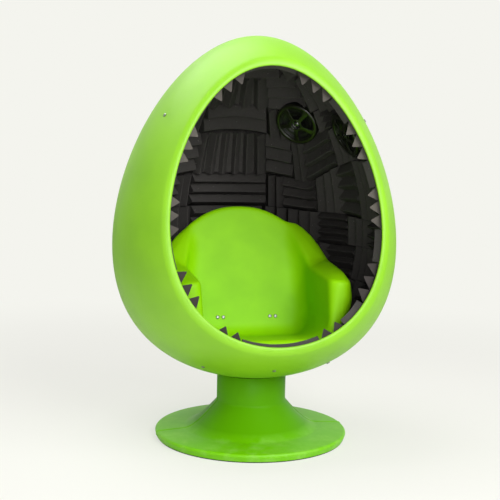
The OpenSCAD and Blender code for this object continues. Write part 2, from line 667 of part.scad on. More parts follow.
module foam_row_1() {
  foam_tiles(row_1);
}
module foam_row_2() {
  foam_tiles(row_2);
}
module foam_row_3() {
  foam_tiles(row_3);
}
module foam_row_4() {
  foam_tiles(row_4);
}
module foam_row_5() {
  difference() {
    foam_tiles(row_5);
    speaker_wells();
  }
}
module foam_row_6() {
  difference() {
    foam_tiles(concat(row_6, row_7));
    speaker_wells();
  }
}
module foam_roof() {
  foam_tiles(row_8);
}

// The foam ring: groups of wedge ends alternate with wedges along the lip
// Angles of the groups' middles round the mouth, on the right and mirrored from the left
tooth_angles_right = [70.5, 37.5, 0, -38, -66.5];
tooth_angles_left = [69, 34, -5, -41, -68];
tooth_count = [3, 3, 3, 3, 2];
ring_front = 2 * lip_radius + 2 * foam_gap;
function mouth_r(angle) =
  let (p = round_mouth(angle, ring_front, 2 * lip_radius)) norm(p - mouth_mid - ring_front * mouth_in);
function tooth_angle(side, k) = side > 0 ? tooth_angles_right[k] : tooth_angles_left[k];
function group_half(side, k) =
  tooth_count[k] * wedge_pitch / 2 / mouth_r(tooth_angle(side, k)) * 180 / PI;
function group_low(side, k) = tooth_angle(side, k) - group_half(side, k);
function group_high(side, k) = tooth_angle(side, k) + group_half(side, k);
last_group = len(tooth_count) - 1;
function ring_cells(side) = [
  for (k = [0:last_group])
    let (low = group_low(side, k), high = group_high(side, k))
    [0, side > 0 ? low : 180 - high, side > 0 ? high : 180 - low, tooth_count[k]],
  for (k = [1:last_group])
    let (low = group_high(side, k), high = group_low(side, k - 1))
    [1, side > 0 ? low : 180 - high, side > 0 ? high : 180 - low, 2]
];
ring_ends = [
  [1, group_high(1, 0), 180 - group_high(-1, 0), 2],
  [1, -180 - group_low(-1, last_group), group_low(1, last_group), 1]
];
low_angle = 48;
low_thin_share = 0.18;
// How far an angle lies into the low front of the ring, which is shallower and thinner
function ring_down(angle) = min(1, 3 * max(0, -sin(angle) - sin(low_angle)) / (1 - sin(low_angle)));
function ring_back(angle) = ring_depth - (ring_depth - ring_depth_low) * ring_down(angle);
function ring_point(cell, across, along, h) =
  let (u = cell[0] == 0 ? across : along, w = cell[0] == 0 ? along : across,
       gap = foam_gap / 2 / mouth_r(90) * 180 / PI,
       angle = cell[1] + gap + (cell[2] - cell[1] - 2 * gap) * u,
       depth = ring_front + (ring_back(angle) - foam_gap - ring_front) * w)
  round_mouth(angle, depth, foam_inset(sin(angle)) + h * (1 - low_thin_share * ring_down(angle)));
module foam_ring() {
  cells = concat(ring_cells(1), ring_cells(-1), ring_ends);
  steps = 3;
  sections = [for (cell = cells) tile_section(cell[3])];
  points = [for (c = [0:len(cells) - 1], s = [0:steps], q = sections[c])
    ring_point(cells[c], q[0], s / steps, q[1])];
  starts = [for (c = 0, at = 0; c < len(cells); at = at + (steps + 1) * len(sections[c]), c = c + 1) at];
  faces = [for (c = [0:len(cells) - 1], f = tile_faces(cells[c][3], steps))
    let (flip = cells[c][0] == 0)
    flip ? [f[0] + starts[c], f[1] + starts[c], f[2] + starts[c]]
    : [f[2] + starts[c], f[1] + starts[c], f[0] + starts[c]]];
  color("#2f2d2c") polyhedron(points = points, faces = faces, convexity = 6);
}

// Speakers: each stands on its magnet's back, with z towards the listener
magnet_shares = [0.46, 0.42];
magnet_r = grille_radius * magnet_shares[0];
magnet_h = speaker_depth * magnet_shares[1];
speaker_inset = shell_wall + seat_gap + pow(magnet_r, 2) / (2 * egg_radius);
flange_t = 3;
grille_h = 12;
spoke_count = 5;
spoke_angle = 133;
module at_speaker(turn, z) {
  at_egg(turn, z, speaker_inset) rotate([180, 0, 0]) children();
}
module speaker_well(turn, z) {
  at_speaker(turn, z) translate([0, 0, -shell_wall])
    cylinder(r = grille_radius + foam_gap, h = speaker_depth * 3, $fn = 40);
}
module speaker_wells() {
  for (side = [-1, 1]) {
    speaker_well(side * rear_speaker_angle, egg_z(rear_speaker_rise));
    speaker_well(side * side_speaker_angle, egg_z(side_speaker_rise));
  }
}
basket_neck_r = magnet_r * 0.8;
flange_z = speaker_depth;
module magnet() {
  color("#26282a") translate([0, 0, seat_gap]) rotate_extrude() polygon([
    [0, 0], [magnet_r - over, 0], [magnet_r, over], [magnet_r, magnet_h - over],
    [magnet_r - over, magnet_h], [0, magnet_h]
  ]);
}
module basket() {
  color("#1d1e20") rotate_extrude() polygon([
    [0, magnet_h + seat_gap], [basket_neck_r, magnet_h + seat_gap],
    [grille_radius * 0.9, flange_z - flange_t], [grille_radius, flange_z - flange_t],
    [grille_radius, flange_z], [grille_radius * 0.84, flange_z],
    [basket_neck_r - flange_t, magnet_h + seat_gap + flange_t], [0, magnet_h + seat_gap + flange_t]
  ]);
}
cone_r = grille_radius * 0.885;
cone_low_z = magnet_h + 2 * flange_t;
surround_h = 5;
module cone() {
  color("#141414") rotate_extrude() polygon(concat(
    [[basket_neck_r * 0.5, cone_low_z], [cone_r * 0.82, flange_z - flange_t / 2]],
    [for (a = [165:-15:15]) [cone_r * 0.91 + cone_r * 0.09 * cos(a), flange_z + surround_h * sin(a)]],
    [[cone_r, flange_z + seat_gap], [cone_r - over, flange_z + seat_gap]],
    [for (a = [30:15:150])
      [cone_r * 0.91 + (cone_r * 0.09 - over) * cos(a), flange_z + seat_gap + (surround_h - over) * sin(a)]],
    [[cone_r * 0.82 + over, flange_z - flange_t / 2 - over],
     [basket_neck_r * 0.5, cone_low_z - over]]
  ));
}
tweeter_r = grille_radius * 0.2;
module tweeter() {
  post_r = basket_neck_r * 0.3;
  color("#101010") rotate_extrude() polygon(concat(
    [[0, magnet_h + seat_gap * 2 + flange_t], [post_r, magnet_h + seat_gap * 2 + flange_t],
     [post_r, flange_z], [tweeter_r, flange_z]],
    [for (a = [0:15:90]) [tweeter_r * cos(a), flange_z + flange_t / 2 + tweeter_r / 2 * sin(a)]]
  ));
}
module grille() {
  ring_w = grille_radius * 0.11;
  hub_r = grille_radius * 0.27;
  bar_t = flange_t;
  color("#0d0e0c") {
    rotate_extrude() polygon([
      [grille_radius - ring_w, flange_z + seat_gap], [grille_radius, flange_z + seat_gap],
      [grille_radius, flange_z + grille_h / 2], [grille_radius - ring_w / 3, flange_z + grille_h],
      [grille_radius - ring_w * 2 / 3, flange_z + grille_h],
      [grille_radius - ring_w, flange_z + grille_h * 2 / 3]
    ]);
    translate([0, 0, flange_z + grille_h]) difference() {
      cylinder(r = hub_r, h = bar_t);
      translate([0, 0, -over]) cylinder(r = tweeter_r + flange_t, h = bar_t + 2 * over);
    }
    for (k = [1:spoke_count]) rotate([0, 0, 360 * k / spoke_count + spoke_angle])
      rotate([90, 0, 0]) translate([0, 0, -bar_t]) linear_extrude(2 * bar_t) polygon([
        [hub_r - bar_t / 2, flange_z + grille_h + bar_t / 4],
        [grille_radius - ring_w / 2, flange_z + grille_h / 2],
        [grille_radius - ring_w / 2, flange_z + grille_h - bar_t / 2],
        [hub_r - bar_t / 2, flange_z + grille_h + bar_t * 3 / 4]
      ]);
  }
}
module rear_left() {
  at_speaker(-rear_speaker_angle, egg_z(rear_speaker_rise)) children();
}
module rear_right() {
  at_speaker(rear_speaker_angle, egg_z(rear_speaker_rise)) children();
}
module side_left() {
  at_speaker(-side_speaker_angle, egg_z(side_speaker_rise)) children();
}
module side_right() {
  at_speaker(side_speaker_angle, egg_z(side_speaker_rise)) children();
}

pedestal_shell();
floor_pad();
ballast_plate();
ballast_screws();
mast_tube();
mast_gussets();
mast_top_plate();
swivel_lower_race();
swivel_balls();
swivel_upper_race();
pod_saddle();
pod_clamp_plate();
mount_bolts();
pod_shell();
seat_shell();
seat_bracket_left();
seat_bracket_right();
seat_screws();
shell_screws();
liner_screws();
foam_ring();
foam_row_1();
foam_row_2();
foam_row_3();
foam_row_4();
foam_row_5();
foam_row_6();
foam_roof();
rear_left() magnet();  // rear_left_magnet
rear_left() basket();  // rear_left_basket
rear_left() cone();  // rear_left_cone
rear_left() tweeter();  // rear_left_tweeter
rear_left() grille();  // rear_left_grille
rear_right() magnet();  // rear_right_magnet
rear_right() basket();  // rear_right_basket
rear_right() cone();  // rear_right_cone
rear_right() tweeter();  // rear_right_tweeter
rear_right() grille();  // rear_right_grille
side_left() magnet();  // side_left_magnet
side_left() basket();  // side_left_basket
side_left() cone();  // side_left_cone
side_left() tweeter();  // side_left_tweeter
side_left() grille();  // side_left_grille
side_right() magnet();  // side_right_magnet
side_right() basket();  // side_right_basket
side_right() cone();  // side_right_cone
side_right() tweeter();  // side_right_tweeter
side_right() grille();  // side_right_grille
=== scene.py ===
# Egg-shaped pod chair on a trumpet pedestal, dressed over its CAD frame. Metres, +Z up, the chair
# faces -Y, and the origin is on the floor under the pedestal's axis.
import random
from math import acos, asin, atan, ceil, cos, degrees, pi, radians, sin, sqrt, tan

import bmesh
import bpy
from mathutils import Matrix, Vector


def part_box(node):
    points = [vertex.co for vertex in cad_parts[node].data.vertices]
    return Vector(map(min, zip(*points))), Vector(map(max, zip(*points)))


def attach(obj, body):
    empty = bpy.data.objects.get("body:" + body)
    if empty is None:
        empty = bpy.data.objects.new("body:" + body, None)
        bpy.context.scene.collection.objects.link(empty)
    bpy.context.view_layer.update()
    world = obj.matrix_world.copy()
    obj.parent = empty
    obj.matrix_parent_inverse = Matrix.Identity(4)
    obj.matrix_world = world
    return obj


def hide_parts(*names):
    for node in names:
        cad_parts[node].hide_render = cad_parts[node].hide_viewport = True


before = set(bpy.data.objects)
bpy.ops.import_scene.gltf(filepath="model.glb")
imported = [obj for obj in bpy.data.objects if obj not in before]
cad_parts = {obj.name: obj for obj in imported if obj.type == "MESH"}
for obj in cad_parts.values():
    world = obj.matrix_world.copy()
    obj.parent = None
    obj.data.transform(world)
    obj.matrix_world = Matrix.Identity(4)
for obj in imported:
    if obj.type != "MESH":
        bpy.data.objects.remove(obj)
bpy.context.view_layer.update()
scene = bpy.context.scene

# Camera: the photograph's own viewpoint, a little over the seat and to the chair's left, with a
# long lens, and turned slightly about its own axis.
VIEW_FROM = Vector((-0.9507, -3.6682, 1.1078))
HEADING, PITCH, ROLL = radians(14.30), radians(5.87), radians(1.19)
LENS_MM, VIEW_RANGE = 72, 60


def scene_object(name, data):
    """An object in the scene for a mesh, a curve, a lamp or the camera."""
    item = bpy.data.objects.new(name, data)
    scene.collection.objects.link(item)
    return item


camera = scene_object("camera", bpy.data.cameras.new("camera"))
ahead = Vector((sin(HEADING) * cos(PITCH), cos(HEADING) * cos(PITCH), -sin(PITCH)))
level = Vector((cos(HEADING), -sin(HEADING), 0))
upright = level.cross(ahead)
across = cos(ROLL) * level + sin(ROLL) * upright
upward = cos(ROLL) * upright - sin(ROLL) * level
aimed = Matrix((across, upward, -ahead)).transposed().to_4x4()
camera.matrix_world = Matrix.Translation(VIEW_FROM) @ aimed
camera.data.lens = LENS_MM
camera.data.clip_end = VIEW_RANGE
scene.camera = camera
scene.view_settings.view_transform = "Standard"


# Studio: a pale matt floor under large soft lamps, in a pale room. The floor is lit like the chair
# and keeps its shadow, and a few metres away it runs into the room without an edge, all round.
def linear(code):
    """The linear colour of an sRGB hex code."""
    parts = [int(code[k : k + 2], 16) / 255 for k in (1, 3, 5)]
    return tuple(p / 12.92 if p <= 0.04045 else ((p + 0.055) / 1.055) ** 2.4 for p in parts) + (1,)


def feed(node, sources):
    """Gives a node's inputs, by name or number, their values or links. A node as a source stands
    for its first output, and a Mix node's two colours are inputs 6 and 7, and its result output 2."""
    for name, source in sources.items():
        if isinstance(source, bpy.types.Node):
            source = source.outputs[0]
        if isinstance(source, bpy.types.NodeSocket):
            node.id_data.links.new(source, node.inputs[name])
        else:
            node.inputs[name].default_value = source


def add(tree, kind, sources=None, **properties):
    """Adds a node with its properties, and feeds its inputs."""
    node = tree.nodes.new(kind)
    for name, value in properties.items():
        setattr(node, name, value)
    feed(node, sources or {})
    return node


def finish_material(name, colour, roughness, settings=None):
    """A new material, its tree, its shader, and the place on the piece that its patterns read."""
    material = bpy.data.materials.new(name)
    material.use_nodes = True
    tree = material.node_tree
    shader = tree.nodes["Principled BSDF"]
    feed(shader, {"Base Color": linear(colour), "Roughness": roughness} | (settings or {}))
    return material, tree, shader, add(tree, "ShaderNodeTexCoord").outputs["Object"]


def mesh_piece(name, points, faces, material):
    """A smooth mesh object from points in metres."""
    mesh = bpy.data.meshes.new(name)
    mesh.from_pydata([tuple(p) for p in points], [], faces)
    mesh.materials.append(material)
    mesh.polygons.foreach_set("use_smooth", [True] * len(mesh.polygons))
    mesh.update()
    return scene_object(name, mesh)


# Seamless matt paper with hardly any sheen. To the camera alone it is partly lit by itself, and all
# of it from FADE_TO metres out.
ROOM_COLOUR, FLOOR_RADIUS, FLOOR_SIDES = "#f4f4ee", 80, 64
SELF_LIT, FADE_FROM, FADE_TO = 0.62, 0.8, 3.6
faint = {"Specular IOR Level": 0.1}
paper, tree, shader, place = finish_material("seamless matt paper", "#e8e7e2", 0.95, faint)
eye = add(tree, "ShaderNodeLightPath").outputs["Is Camera Ray"]
away = add(tree, "ShaderNodeVectorMath", {0: place}, operation="LENGTH").outputs["Value"]
span = {"Value": away, "From Min": FADE_FROM, "From Max": FADE_TO, "To Min": SELF_LIT}
fade = add(tree, "ShaderNodeMapRange", span, interpolation_type="SMOOTHSTEP")
self_lit = add(tree, "ShaderNodeMath", {0: eye, 1: fade}, operation="MULTIPLY")
glow = add(tree, "ShaderNodeEmission", {"Color": linear(ROOM_COLOUR), "Strength": 1.0})
sheet = add(tree, "ShaderNodeMixShader", {"Fac": self_lit, 1: shader, 2: glow})
feed(tree.nodes["Material Output"], {"Surface": sheet})
rim = [radians(360 * k / FLOOR_SIDES) for k in range(FLOOR_SIDES)]
rim_points = [(FLOOR_RADIUS * cos(a), FLOOR_RADIUS * sin(a), 0) for a in rim]
mesh_piece("paper_floor", rim_points, [tuple(range(FLOOR_SIDES))], paper)

# Gloss shows the white wall behind and over the chair at full strength, and a dimmer room before it
# and to its left. The camera sees the room's colour as it is, and the room lights the chair dimly.
WHITE_WALL, WALL_FROM, WALL_TO, DIM_ROOM = (0.55, 0.55, 0.63), -0.3, 0.5, 0.22
ROOM_LIGHT, ROOM_LIGHT_COLOUR = 0.34, "#fbfbf8"
world = bpy.data.worlds.new("pale room")
scene.world = world
world.use_nodes = True
room = world.node_tree
room.nodes.clear()
ray = add(room, "ShaderNodeLightPath").outputs
straight = {0: ray["Is Camera Ray"], 1: ray["Is Transmission Ray"]}
direct = add(room, "ShaderNodeMath", straight, operation="MAXIMUM")
seen = add(room, "ShaderNodeMath", {0: direct, 1: ray["Is Glossy Ray"]}, operation="MAXIMUM")
way = add(room, "ShaderNodeTexCoord").outputs["Generated"]
towards = add(room, "ShaderNodeVectorMath", {0: way, 1: WHITE_WALL}, operation="DOT_PRODUCT")
span = {"From Min": WALL_FROM, "From Max": WALL_TO, "To Min": DIM_ROOM}
wall = add(room, "ShaderNodeMapRange", {"Value": towards.outputs["Value"]} | span)
strength = add(room, "ShaderNodeMath", {0: wall, 1: direct}, operation="MAXIMUM")
lit = add(room, "ShaderNodeBackground", {"Color": linear(ROOM_LIGHT_COLOUR), "Strength": ROOM_LIGHT})
shown = add(room, "ShaderNodeBackground", {"Color": linear(ROOM_COLOUR), "Strength": strength})
mixed = add(room, "ShaderNodeMixShader", {"Fac": seen, 1: lit, 2: shown})
add(room, "ShaderNodeOutputWorld", {"Surface": mixed})

# Square softboxes: name, place, the height on the chair's axis that they face, width and watts.
SOFTBOXES = [
    ("key_softbox", (1.9, -2.6, 3.3), 0.9, 2.2, 82),
    ("top_softbox", (-0.9, 0.7, 3.3), 0.9, 2.4, 62),
    ("left_softbox", (-3.6, -1.6, 2.4), 0.8, 1.9, 14),
    ("front_softbox", (1.1, -4.4, 3.1), 0.8, 1.8, 142),
    ("fill_softbox", (-0.9, -4.5, 1.4), 0.9, 1.5, 56),
]
for name, spot, aim_z, width, watts in SOFTBOXES:
    lamp = bpy.data.lights.new(name, "AREA")
    lamp.energy, lamp.size = watts, width
    holder = scene_object(name, lamp)
    holder.location = spot
    aim = Vector((0, 0, aim_z)) - Vector(spot)
    holder.rotation_euler = aim.to_track_quat("-Z", "Y").to_euler()


# Pedestal: one rotationally moulded trumpet, a straight column that flares into a wide foot. It is
# smoother and deeper green than the egg. The two halves of its mould met in the chair's left-right
# plane and left a hairline ridge there, and shoes have scuffed the foot pale. Its foot is painted a
# lighter green than its column: painted light, for the egg shades the column and not the foot.
MM = 0.001
FOOT_RADIUS, FOOT_EDGE_H, COLUMN_RADIUS, FLARE_TOP_Z = 0.367, 0.032, 0.132, 0.142
PEDESTAL_WALL, PAD_T, BALLAST_T, BALLAST_RADIUS, BALLAST_GAP = 0.007, 0.004, 0.010, 0.290, 0.0006
FLARE_STEPS, SOFT_EDGE = 40, 0.0016
SEAM_WIDTH, SEAM_RISE = 0.0038, 0.0020  # drawn wider than the real hairline, so that it shows
COLUMN_TOP_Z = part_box("pedestal_shell")[1].z
FOOT_FLAT_Z, FOOT_ROLL_R = FOOT_EDGE_H + 2 * PEDESTAL_WALL, 0.3 * FOOT_EDGE_H
# The flare leaves the column at a soft crease and levels out on the flat of the foot.
FLARE_START, CREASE_H = Vector((COLUMN_RADIUS, FLARE_TOP_Z)), 3 * SOFT_EDGE
FLARE_BEND, FLARE_END = Vector((0.219, 0.039)), Vector((0.262, 0.0385))


def flare(inset):
    """The flare's outline from the column down, drawn in by inset."""
    for k in range(FLARE_STEPS + 1):
        t = k / FLARE_STEPS
        point = FLARE_START.lerp(FLARE_BEND, t).lerp(FLARE_BEND.lerp(FLARE_END, t), t)
        way = (FLARE_BEND - FLARE_START).lerp(FLARE_END - FLARE_BEND, t).normalized()
        yield (point.x + inset * way.y, point.y - inset * way.x)


def foot_roll(start, stop, step):
    """The rolled edge of the foot between two angles over the horizontal."""
    for a in range(start, stop, step):
        yield (
            FOOT_RADIUS - FOOT_ROLL_R + FOOT_ROLL_R * cos(radians(a)),
            FOOT_EDGE_H - FOOT_ROLL_R + FOOT_ROLL_R * sin(radians(a)),
        )


bore_r, recess_r = COLUMN_RADIUS - PEDESTAL_WALL, BALLAST_RADIUS + SOFT_EDGE
foot_in_r, ballast_top = FOOT_RADIUS - FOOT_ROLL_R - PEDESTAL_WALL, PAD_T + BALLAST_T + BALLAST_GAP
outline = [
    (bore_r, COLUMN_TOP_Z - SOFT_EDGE),
    (bore_r + SOFT_EDGE, COLUMN_TOP_Z),
    (COLUMN_RADIUS - SOFT_EDGE, COLUMN_TOP_Z),
    (COLUMN_RADIUS, COLUMN_TOP_Z - SOFT_EDGE),
    (COLUMN_RADIUS, FLARE_TOP_Z + CREASE_H),
    *flare(0),
    *foot_roll(84, -25, -6),
    (FOOT_RADIUS - FOOT_ROLL_R * 2 / 3, PAD_T),
    (recess_r, PAD_T),
    (recess_r, ballast_top),
    (foot_in_r, ballast_top),
    (foot_in_r, FOOT_EDGE_H - FOOT_ROLL_R),
    *reversed(list(flare(PEDESTAL_WALL))),
]


def plan_tree(name, sizes):
    """A Geometry Nodes tree with its sizes as named inputs, those inputs, and its output node."""
    tree = bpy.data.node_groups.new(name, "GeometryNodeTree")
    tree.interface.new_socket("Geometry", in_out="INPUT", socket_type="NodeSocketGeometry")
    for size, value in sizes.items():
        kind = {int: "NodeSocketInt", float: "NodeSocketFloat"}.get(type(value), "NodeSocketObject")
        tree.interface.new_socket(size, in_out="INPUT", socket_type=kind)
    tree.interface.new_socket("Geometry", in_out="OUTPUT", socket_type="NodeSocketGeometry")
    return tree, add(tree, "NodeGroupInput").outputs, add(tree, "NodeGroupOutput")


def complete(tree, result, made, material):
    """Ends a tree: what was made turns real, in its material."""
    solid = add(tree, "GeometryNodeRealizeInstances", {"Geometry": made})
    finished = add(tree, "GeometryNodeSetMaterial", {"Geometry": solid, "Material": material})
    feed(result, {"Geometry": finished})


def evaluated_mesh(thing):
    """A plain mesh of an object with its modifiers applied."""
    return bpy.data.meshes.new_from_object(thing.evaluated_get(bpy.context.evaluated_depsgraph_get()))


def smoothed(mesh, sharp_degrees):
    """Smooths a mesh up to an angle."""
    mesh.polygons.foreach_set("use_smooth", [True] * len(mesh.polygons))
    mesh.set_sharp_from_angle(angle=radians(sharp_degrees))


def tidied(piece, sharp_degrees):
    """Closes a piece's seams, turns its faces outwards and smooths it up to an angle."""
    body = bmesh.new()
    body.from_mesh(piece.data)
    bmesh.ops.remove_doubles(body, verts=body.verts, dist=1e-6)
    bmesh.ops.recalc_face_normals(body, faces=body.faces)
    body.to_mesh(piece.data)
    body.free()
    smoothed(piece.data, sharp_degrees)
    return piece


def grown(name, start, tree, sharp_degrees, sizes):
    """The plain mesh object that a Geometry Nodes tree makes from a starting object, at its sizes."""
    modifier = start.modifiers.new(tree.name, "NODES")
    modifier.node_group = tree
    for socket in tree.interface.items_tree:
        if socket.in_out == "INPUT" and socket.name in sizes:
            modifier[socket.identifier] = sizes[socket.name]
    mesh = evaluated_mesh(start)
    start.modifiers.remove(modifier)
    bpy.data.objects.remove(start)
    mesh.name = name
    return tidied(scene_object(name, mesh), sharp_degrees)


# The outline is swept round a tiny circle on the axis, whose points crowd towards the mould seam.
AXIS_R, PEDESTAL_SIDES, CROWDING, PEDESTAL_SHARP = 0.001, 288, 0.4, 50


def outline_curve(name, points, closed=True):
    """A half section as a curve that the revolving trees turn about the upright axis."""
    curve = bpy.data.curves.new(name, "CURVE")
    curve.dimensions = "3D"
    line = curve.splines.new("POLY")
    line.points.add(len(points) - 1)
    for point, (r, z) in zip(line.points, points):
        point.co = (r - AXIS_R, -z, 0, 1)
    line.use_cyclic_u = closed
    return scene_object(name, curve)


sizes = {"Sides": PEDESTAL_SIDES, "Seam width": SEAM_WIDTH}
sizes |= {"Seam rise": SEAM_RISE, "Seam floor": 2 * PAD_T}
tree, given, result = plan_tree("revolved moulding with a seam", sizes)
share = add(tree, "GeometryNodeSplineParameter").outputs["Factor"]
even = add(tree, "ShaderNodeMath", {0: share, 1: 2 * pi}, operation="MULTIPLY")
twice = add(tree, "ShaderNodeMath", {0: even, 1: 2}, operation="MULTIPLY")
wave = add(tree, "ShaderNodeMath", {0: twice}, operation="SINE")
turn = add(tree, "ShaderNodeMath", {0: wave, 1: -CROWDING, 2: even}, operation="MULTIPLY_ADD")
east = add(tree, "ShaderNodeMath", {0: turn}, operation="COSINE")
north = add(tree, "ShaderNodeMath", {0: turn}, operation="SINE")
spoke = add(tree, "ShaderNodeCombineXYZ", {"X": east, "Y": north})
spot = add(tree, "ShaderNodeVectorMath", {0: spoke, "Scale": AXIS_R}, operation="SCALE")
axis = add(tree, "GeometryNodeCurvePrimitiveCircle", {"Resolution": given["Sides"], "Radius": AXIS_R})
crowded = add(tree, "GeometryNodeSetPosition", {"Geometry": axis, "Position": spot})
swept = add(tree, "GeometryNodeCurveToMesh", {"Curve": crowded, "Profile Curve": given["Geometry"]})
parts = add(tree, "ShaderNodeSeparateXYZ", {0: add(tree, "GeometryNodeInputPosition")}).outputs
off = add(tree, "ShaderNodeMath", {0: parts["Y"]}, operation="ABSOLUTE")
span = {"Value": off, "From Min": 0, "From Max": given["Seam width"], "To Min": 1, "To Max": 0}
ridge = add(tree, "ShaderNodeMapRange", span, interpolation_type="SMOOTHSTEP")
over_pad = add(tree, "ShaderNodeMath", {0: parts["Z"], 1: given["Seam floor"]}, operation="GREATER_THAN")
kept = add(tree, "ShaderNodeMath", {0: ridge, 1: over_pad}, operation="MULTIPLY")
rise = add(tree, "ShaderNodeMath", {0: kept, 1: given["Seam rise"]}, operation="MULTIPLY")
square = add(tree, "GeometryNodeInputNormal")
lift = add(tree, "ShaderNodeVectorMath", {0: square, "Scale": rise}, operation="SCALE")
seamed = add(tree, "GeometryNodeSetPosition", {"Geometry": swept, "Offset": lift})
trumpet = tree, result, seamed


# Rotomoulded polyethylene with a smoother mould face: deep grass green, hardly glossy, with fine
# blotches, and on the level of the foot pale scuffs where the skin has been rubbed dull. Towards the
# foot the green turns lighter: painted light, which the column in the egg's shade does not get.
def spaced(place, size_mm, **more):
    """The inputs of a pattern whose grains have a real size in millimetres."""
    return {"Vector": place, "Scale": 1 / (size_mm * MM)} | more


SCUFF_MM, STREAK_MM, SKIN_MM, SKIN_DEPTH_MM = 70, 26, 3, 0.12
PEDESTAL_GREEN, FOOT_PAINTED_LIT_GREEN, SCUFF_GREEN = "#559900", "#6db900", "#9ccb68"
COLUMN_GLOSS, FOOT_GLOSS, FOOT_FROM_Z, FOOT_TO_Z = 0.09, 0.27, FOOT_FLAT_Z * 1.35, FOOT_EDGE_H * 0.8
mould_face = {"IOR": 1.5, "Specular IOR Level": COLUMN_GLOSS}
finish = finish_material("smooth green polyethylene", PEDESTAL_GREEN, 0.5, mould_face)
pedestal_plastic, tree, shader, place = finish
height = add(tree, "ShaderNodeSeparateXYZ", {0: place}).outputs["Z"]
low = add(tree, "ShaderNodeMapRange", {"Value": height, "From Min": FOOT_FROM_Z, "From Max": FOOT_TO_Z})
clouds = add(tree, "ShaderNodeTexNoise", spaced(place, SCUFF_MM, Detail=5.0, Roughness=0.62))
worn = add(tree, "ShaderNodeMapRange", {"Value": clouds, "From Min": 0.44, "From Max": 0.72})
scuff = add(tree, "ShaderNodeMath", {0: low, 1: worn}, operation="MULTIPLY")
streaks = add(tree, "ShaderNodeTexNoise", spaced(place, STREAK_MM, Detail=4.0, Distortion=0.6))
marked = add(tree, "ShaderNodeMath", {0: scuff, 1: streaks}, operation="MULTIPLY")
# Painted light: the foot level is a lighter green than the column in the egg's shade.
greens = {0: low, 6: linear(PEDESTAL_GREEN), 7: linear(FOOT_PAINTED_LIT_GREEN)}
foot_painted_lit = add(tree, "ShaderNodeMix", greens, data_type="RGBA").outputs[2]
tint = add(tree, "ShaderNodeMix", {0: marked, 6: foot_painted_lit, 7: linear(SCUFF_GREEN)}, data_type="RGBA")
dull = add(tree, "ShaderNodeMapRange", {"Value": marked, "To Min": 0.42, "To Max": 0.7})
polish = add(tree, "ShaderNodeMapRange", {"Value": low, "To Min": COLUMN_GLOSS, "To Max": FOOT_GLOSS})
skin = add(tree, "ShaderNodeTexNoise", spaced(place, SKIN_MM, Detail=2.0))
relief = add(tree, "ShaderNodeBump", {"Height": skin, "Strength": 0.6, "Distance": SKIN_DEPTH_MM * MM})
feed(shader, {"Base Color": tint.outputs[2], "Roughness": dull, "Normal": relief})
feed(shader, {"Specular IOR Level": polish})

complete(*trumpet, pedestal_plastic)
pedestal_line = outline_curve("pedestal_outline", outline)
pedestal = grown("pedestal_moulding", pedestal_line, trumpet[0], PEDESTAL_SHARP, sizes)
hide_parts("pedestal_shell")
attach(pedestal, "pedestal")


# Inside the pedestal: a black rubber pad under the foot, and on it a steel ballast plate with a
# welded mast, its gussets and its top plate, all powder-coated black, and zinc-plated screws.
def dress(nodes, material):
    """Gives carried-over CAD nodes their material."""
    for node in nodes:
        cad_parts[node].data.materials.clear()
        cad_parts[node].data.materials.append(material)


def mottled(name, colour, spot_colour, roughness, spot_mm, relief_mm, settings=None):
    """A finish whose colour and roughness drift from spot to spot over a fine relief."""
    material, tree, shader, place = finish_material(name, colour, roughness, settings)
    spots = add(tree, "ShaderNodeTexNoise", spaced(place, spot_mm, Detail=3.0))
    colours = {0: spots, 6: linear(colour), 7: linear(spot_colour)}
    tint = add(tree, "ShaderNodeMix", colours, data_type="RGBA").outputs[2]
    span = {"Value": spots, "To Min": roughness * 0.85, "To Max": roughness * 1.2}
    dull = add(tree, "ShaderNodeMapRange", span)
    relief = add(tree, "ShaderNodeBump", {"Height": spots, "Strength": 0.6, "Distance": relief_mm * MM})
    feed(shader, {"Base Color": tint, "Roughness": dull, "Normal": relief})
    return material


pad_rubber = mottled("moulded black rubber", "#161616", "#242322", 0.82, 6, 0.15)
powder_coat = mottled("black powder coat on steel", "#3c3f42", "#4a4d50", 0.5, 2.2, 0.05)
zinc_plate = mottled("dulled zinc plate", "#878c86", "#9da29b", 0.45, 5, 0.02, {"Metallic": 1.0})
dress(["floor_pad"], pad_rubber)
dress(["ballast_plate", "mast_tube", "mast_gussets", "mast_top_plate"], powder_coat)

# Screws and bolts: pan-headed steel screws with a hexagon socket, turned and zinc-plated. One head
# is made and placed along each screw's way out.
HEAD_R, HEAD_T, SHANK_R, SOCKET_R, SEAT_GAP = 0.007, 0.0035, 0.003, 0.0032, 0.0003
RIM_SHARE, RIM_LOW_SHARE, RIM_TOP_SHARE, SOCKET_SHARE = 0.97, 0.25, 0.35, 0.9
SCREW_SIDES, HEAD_SHARP, SAME_SPOT = 32, 30, 1e-5
SCREW_SIZES = {"Socket radius": SOCKET_R, "Socket depth": SOCKET_SHARE * HEAD_T}
SCREW_SIZES |= {"Head top": SEAT_GAP + HEAD_T, "Sides": SCREW_SIDES}


def revolved(tree, profile, sides):
    """A half section carried round the upright axis."""
    circle = add(tree, "GeometryNodeCurvePrimitiveCircle", {"Resolution": sides, "Radius": AXIS_R})
    return add(tree, "GeometryNodeCurveToMesh", {"Curve": circle, "Profile Curve": profile})


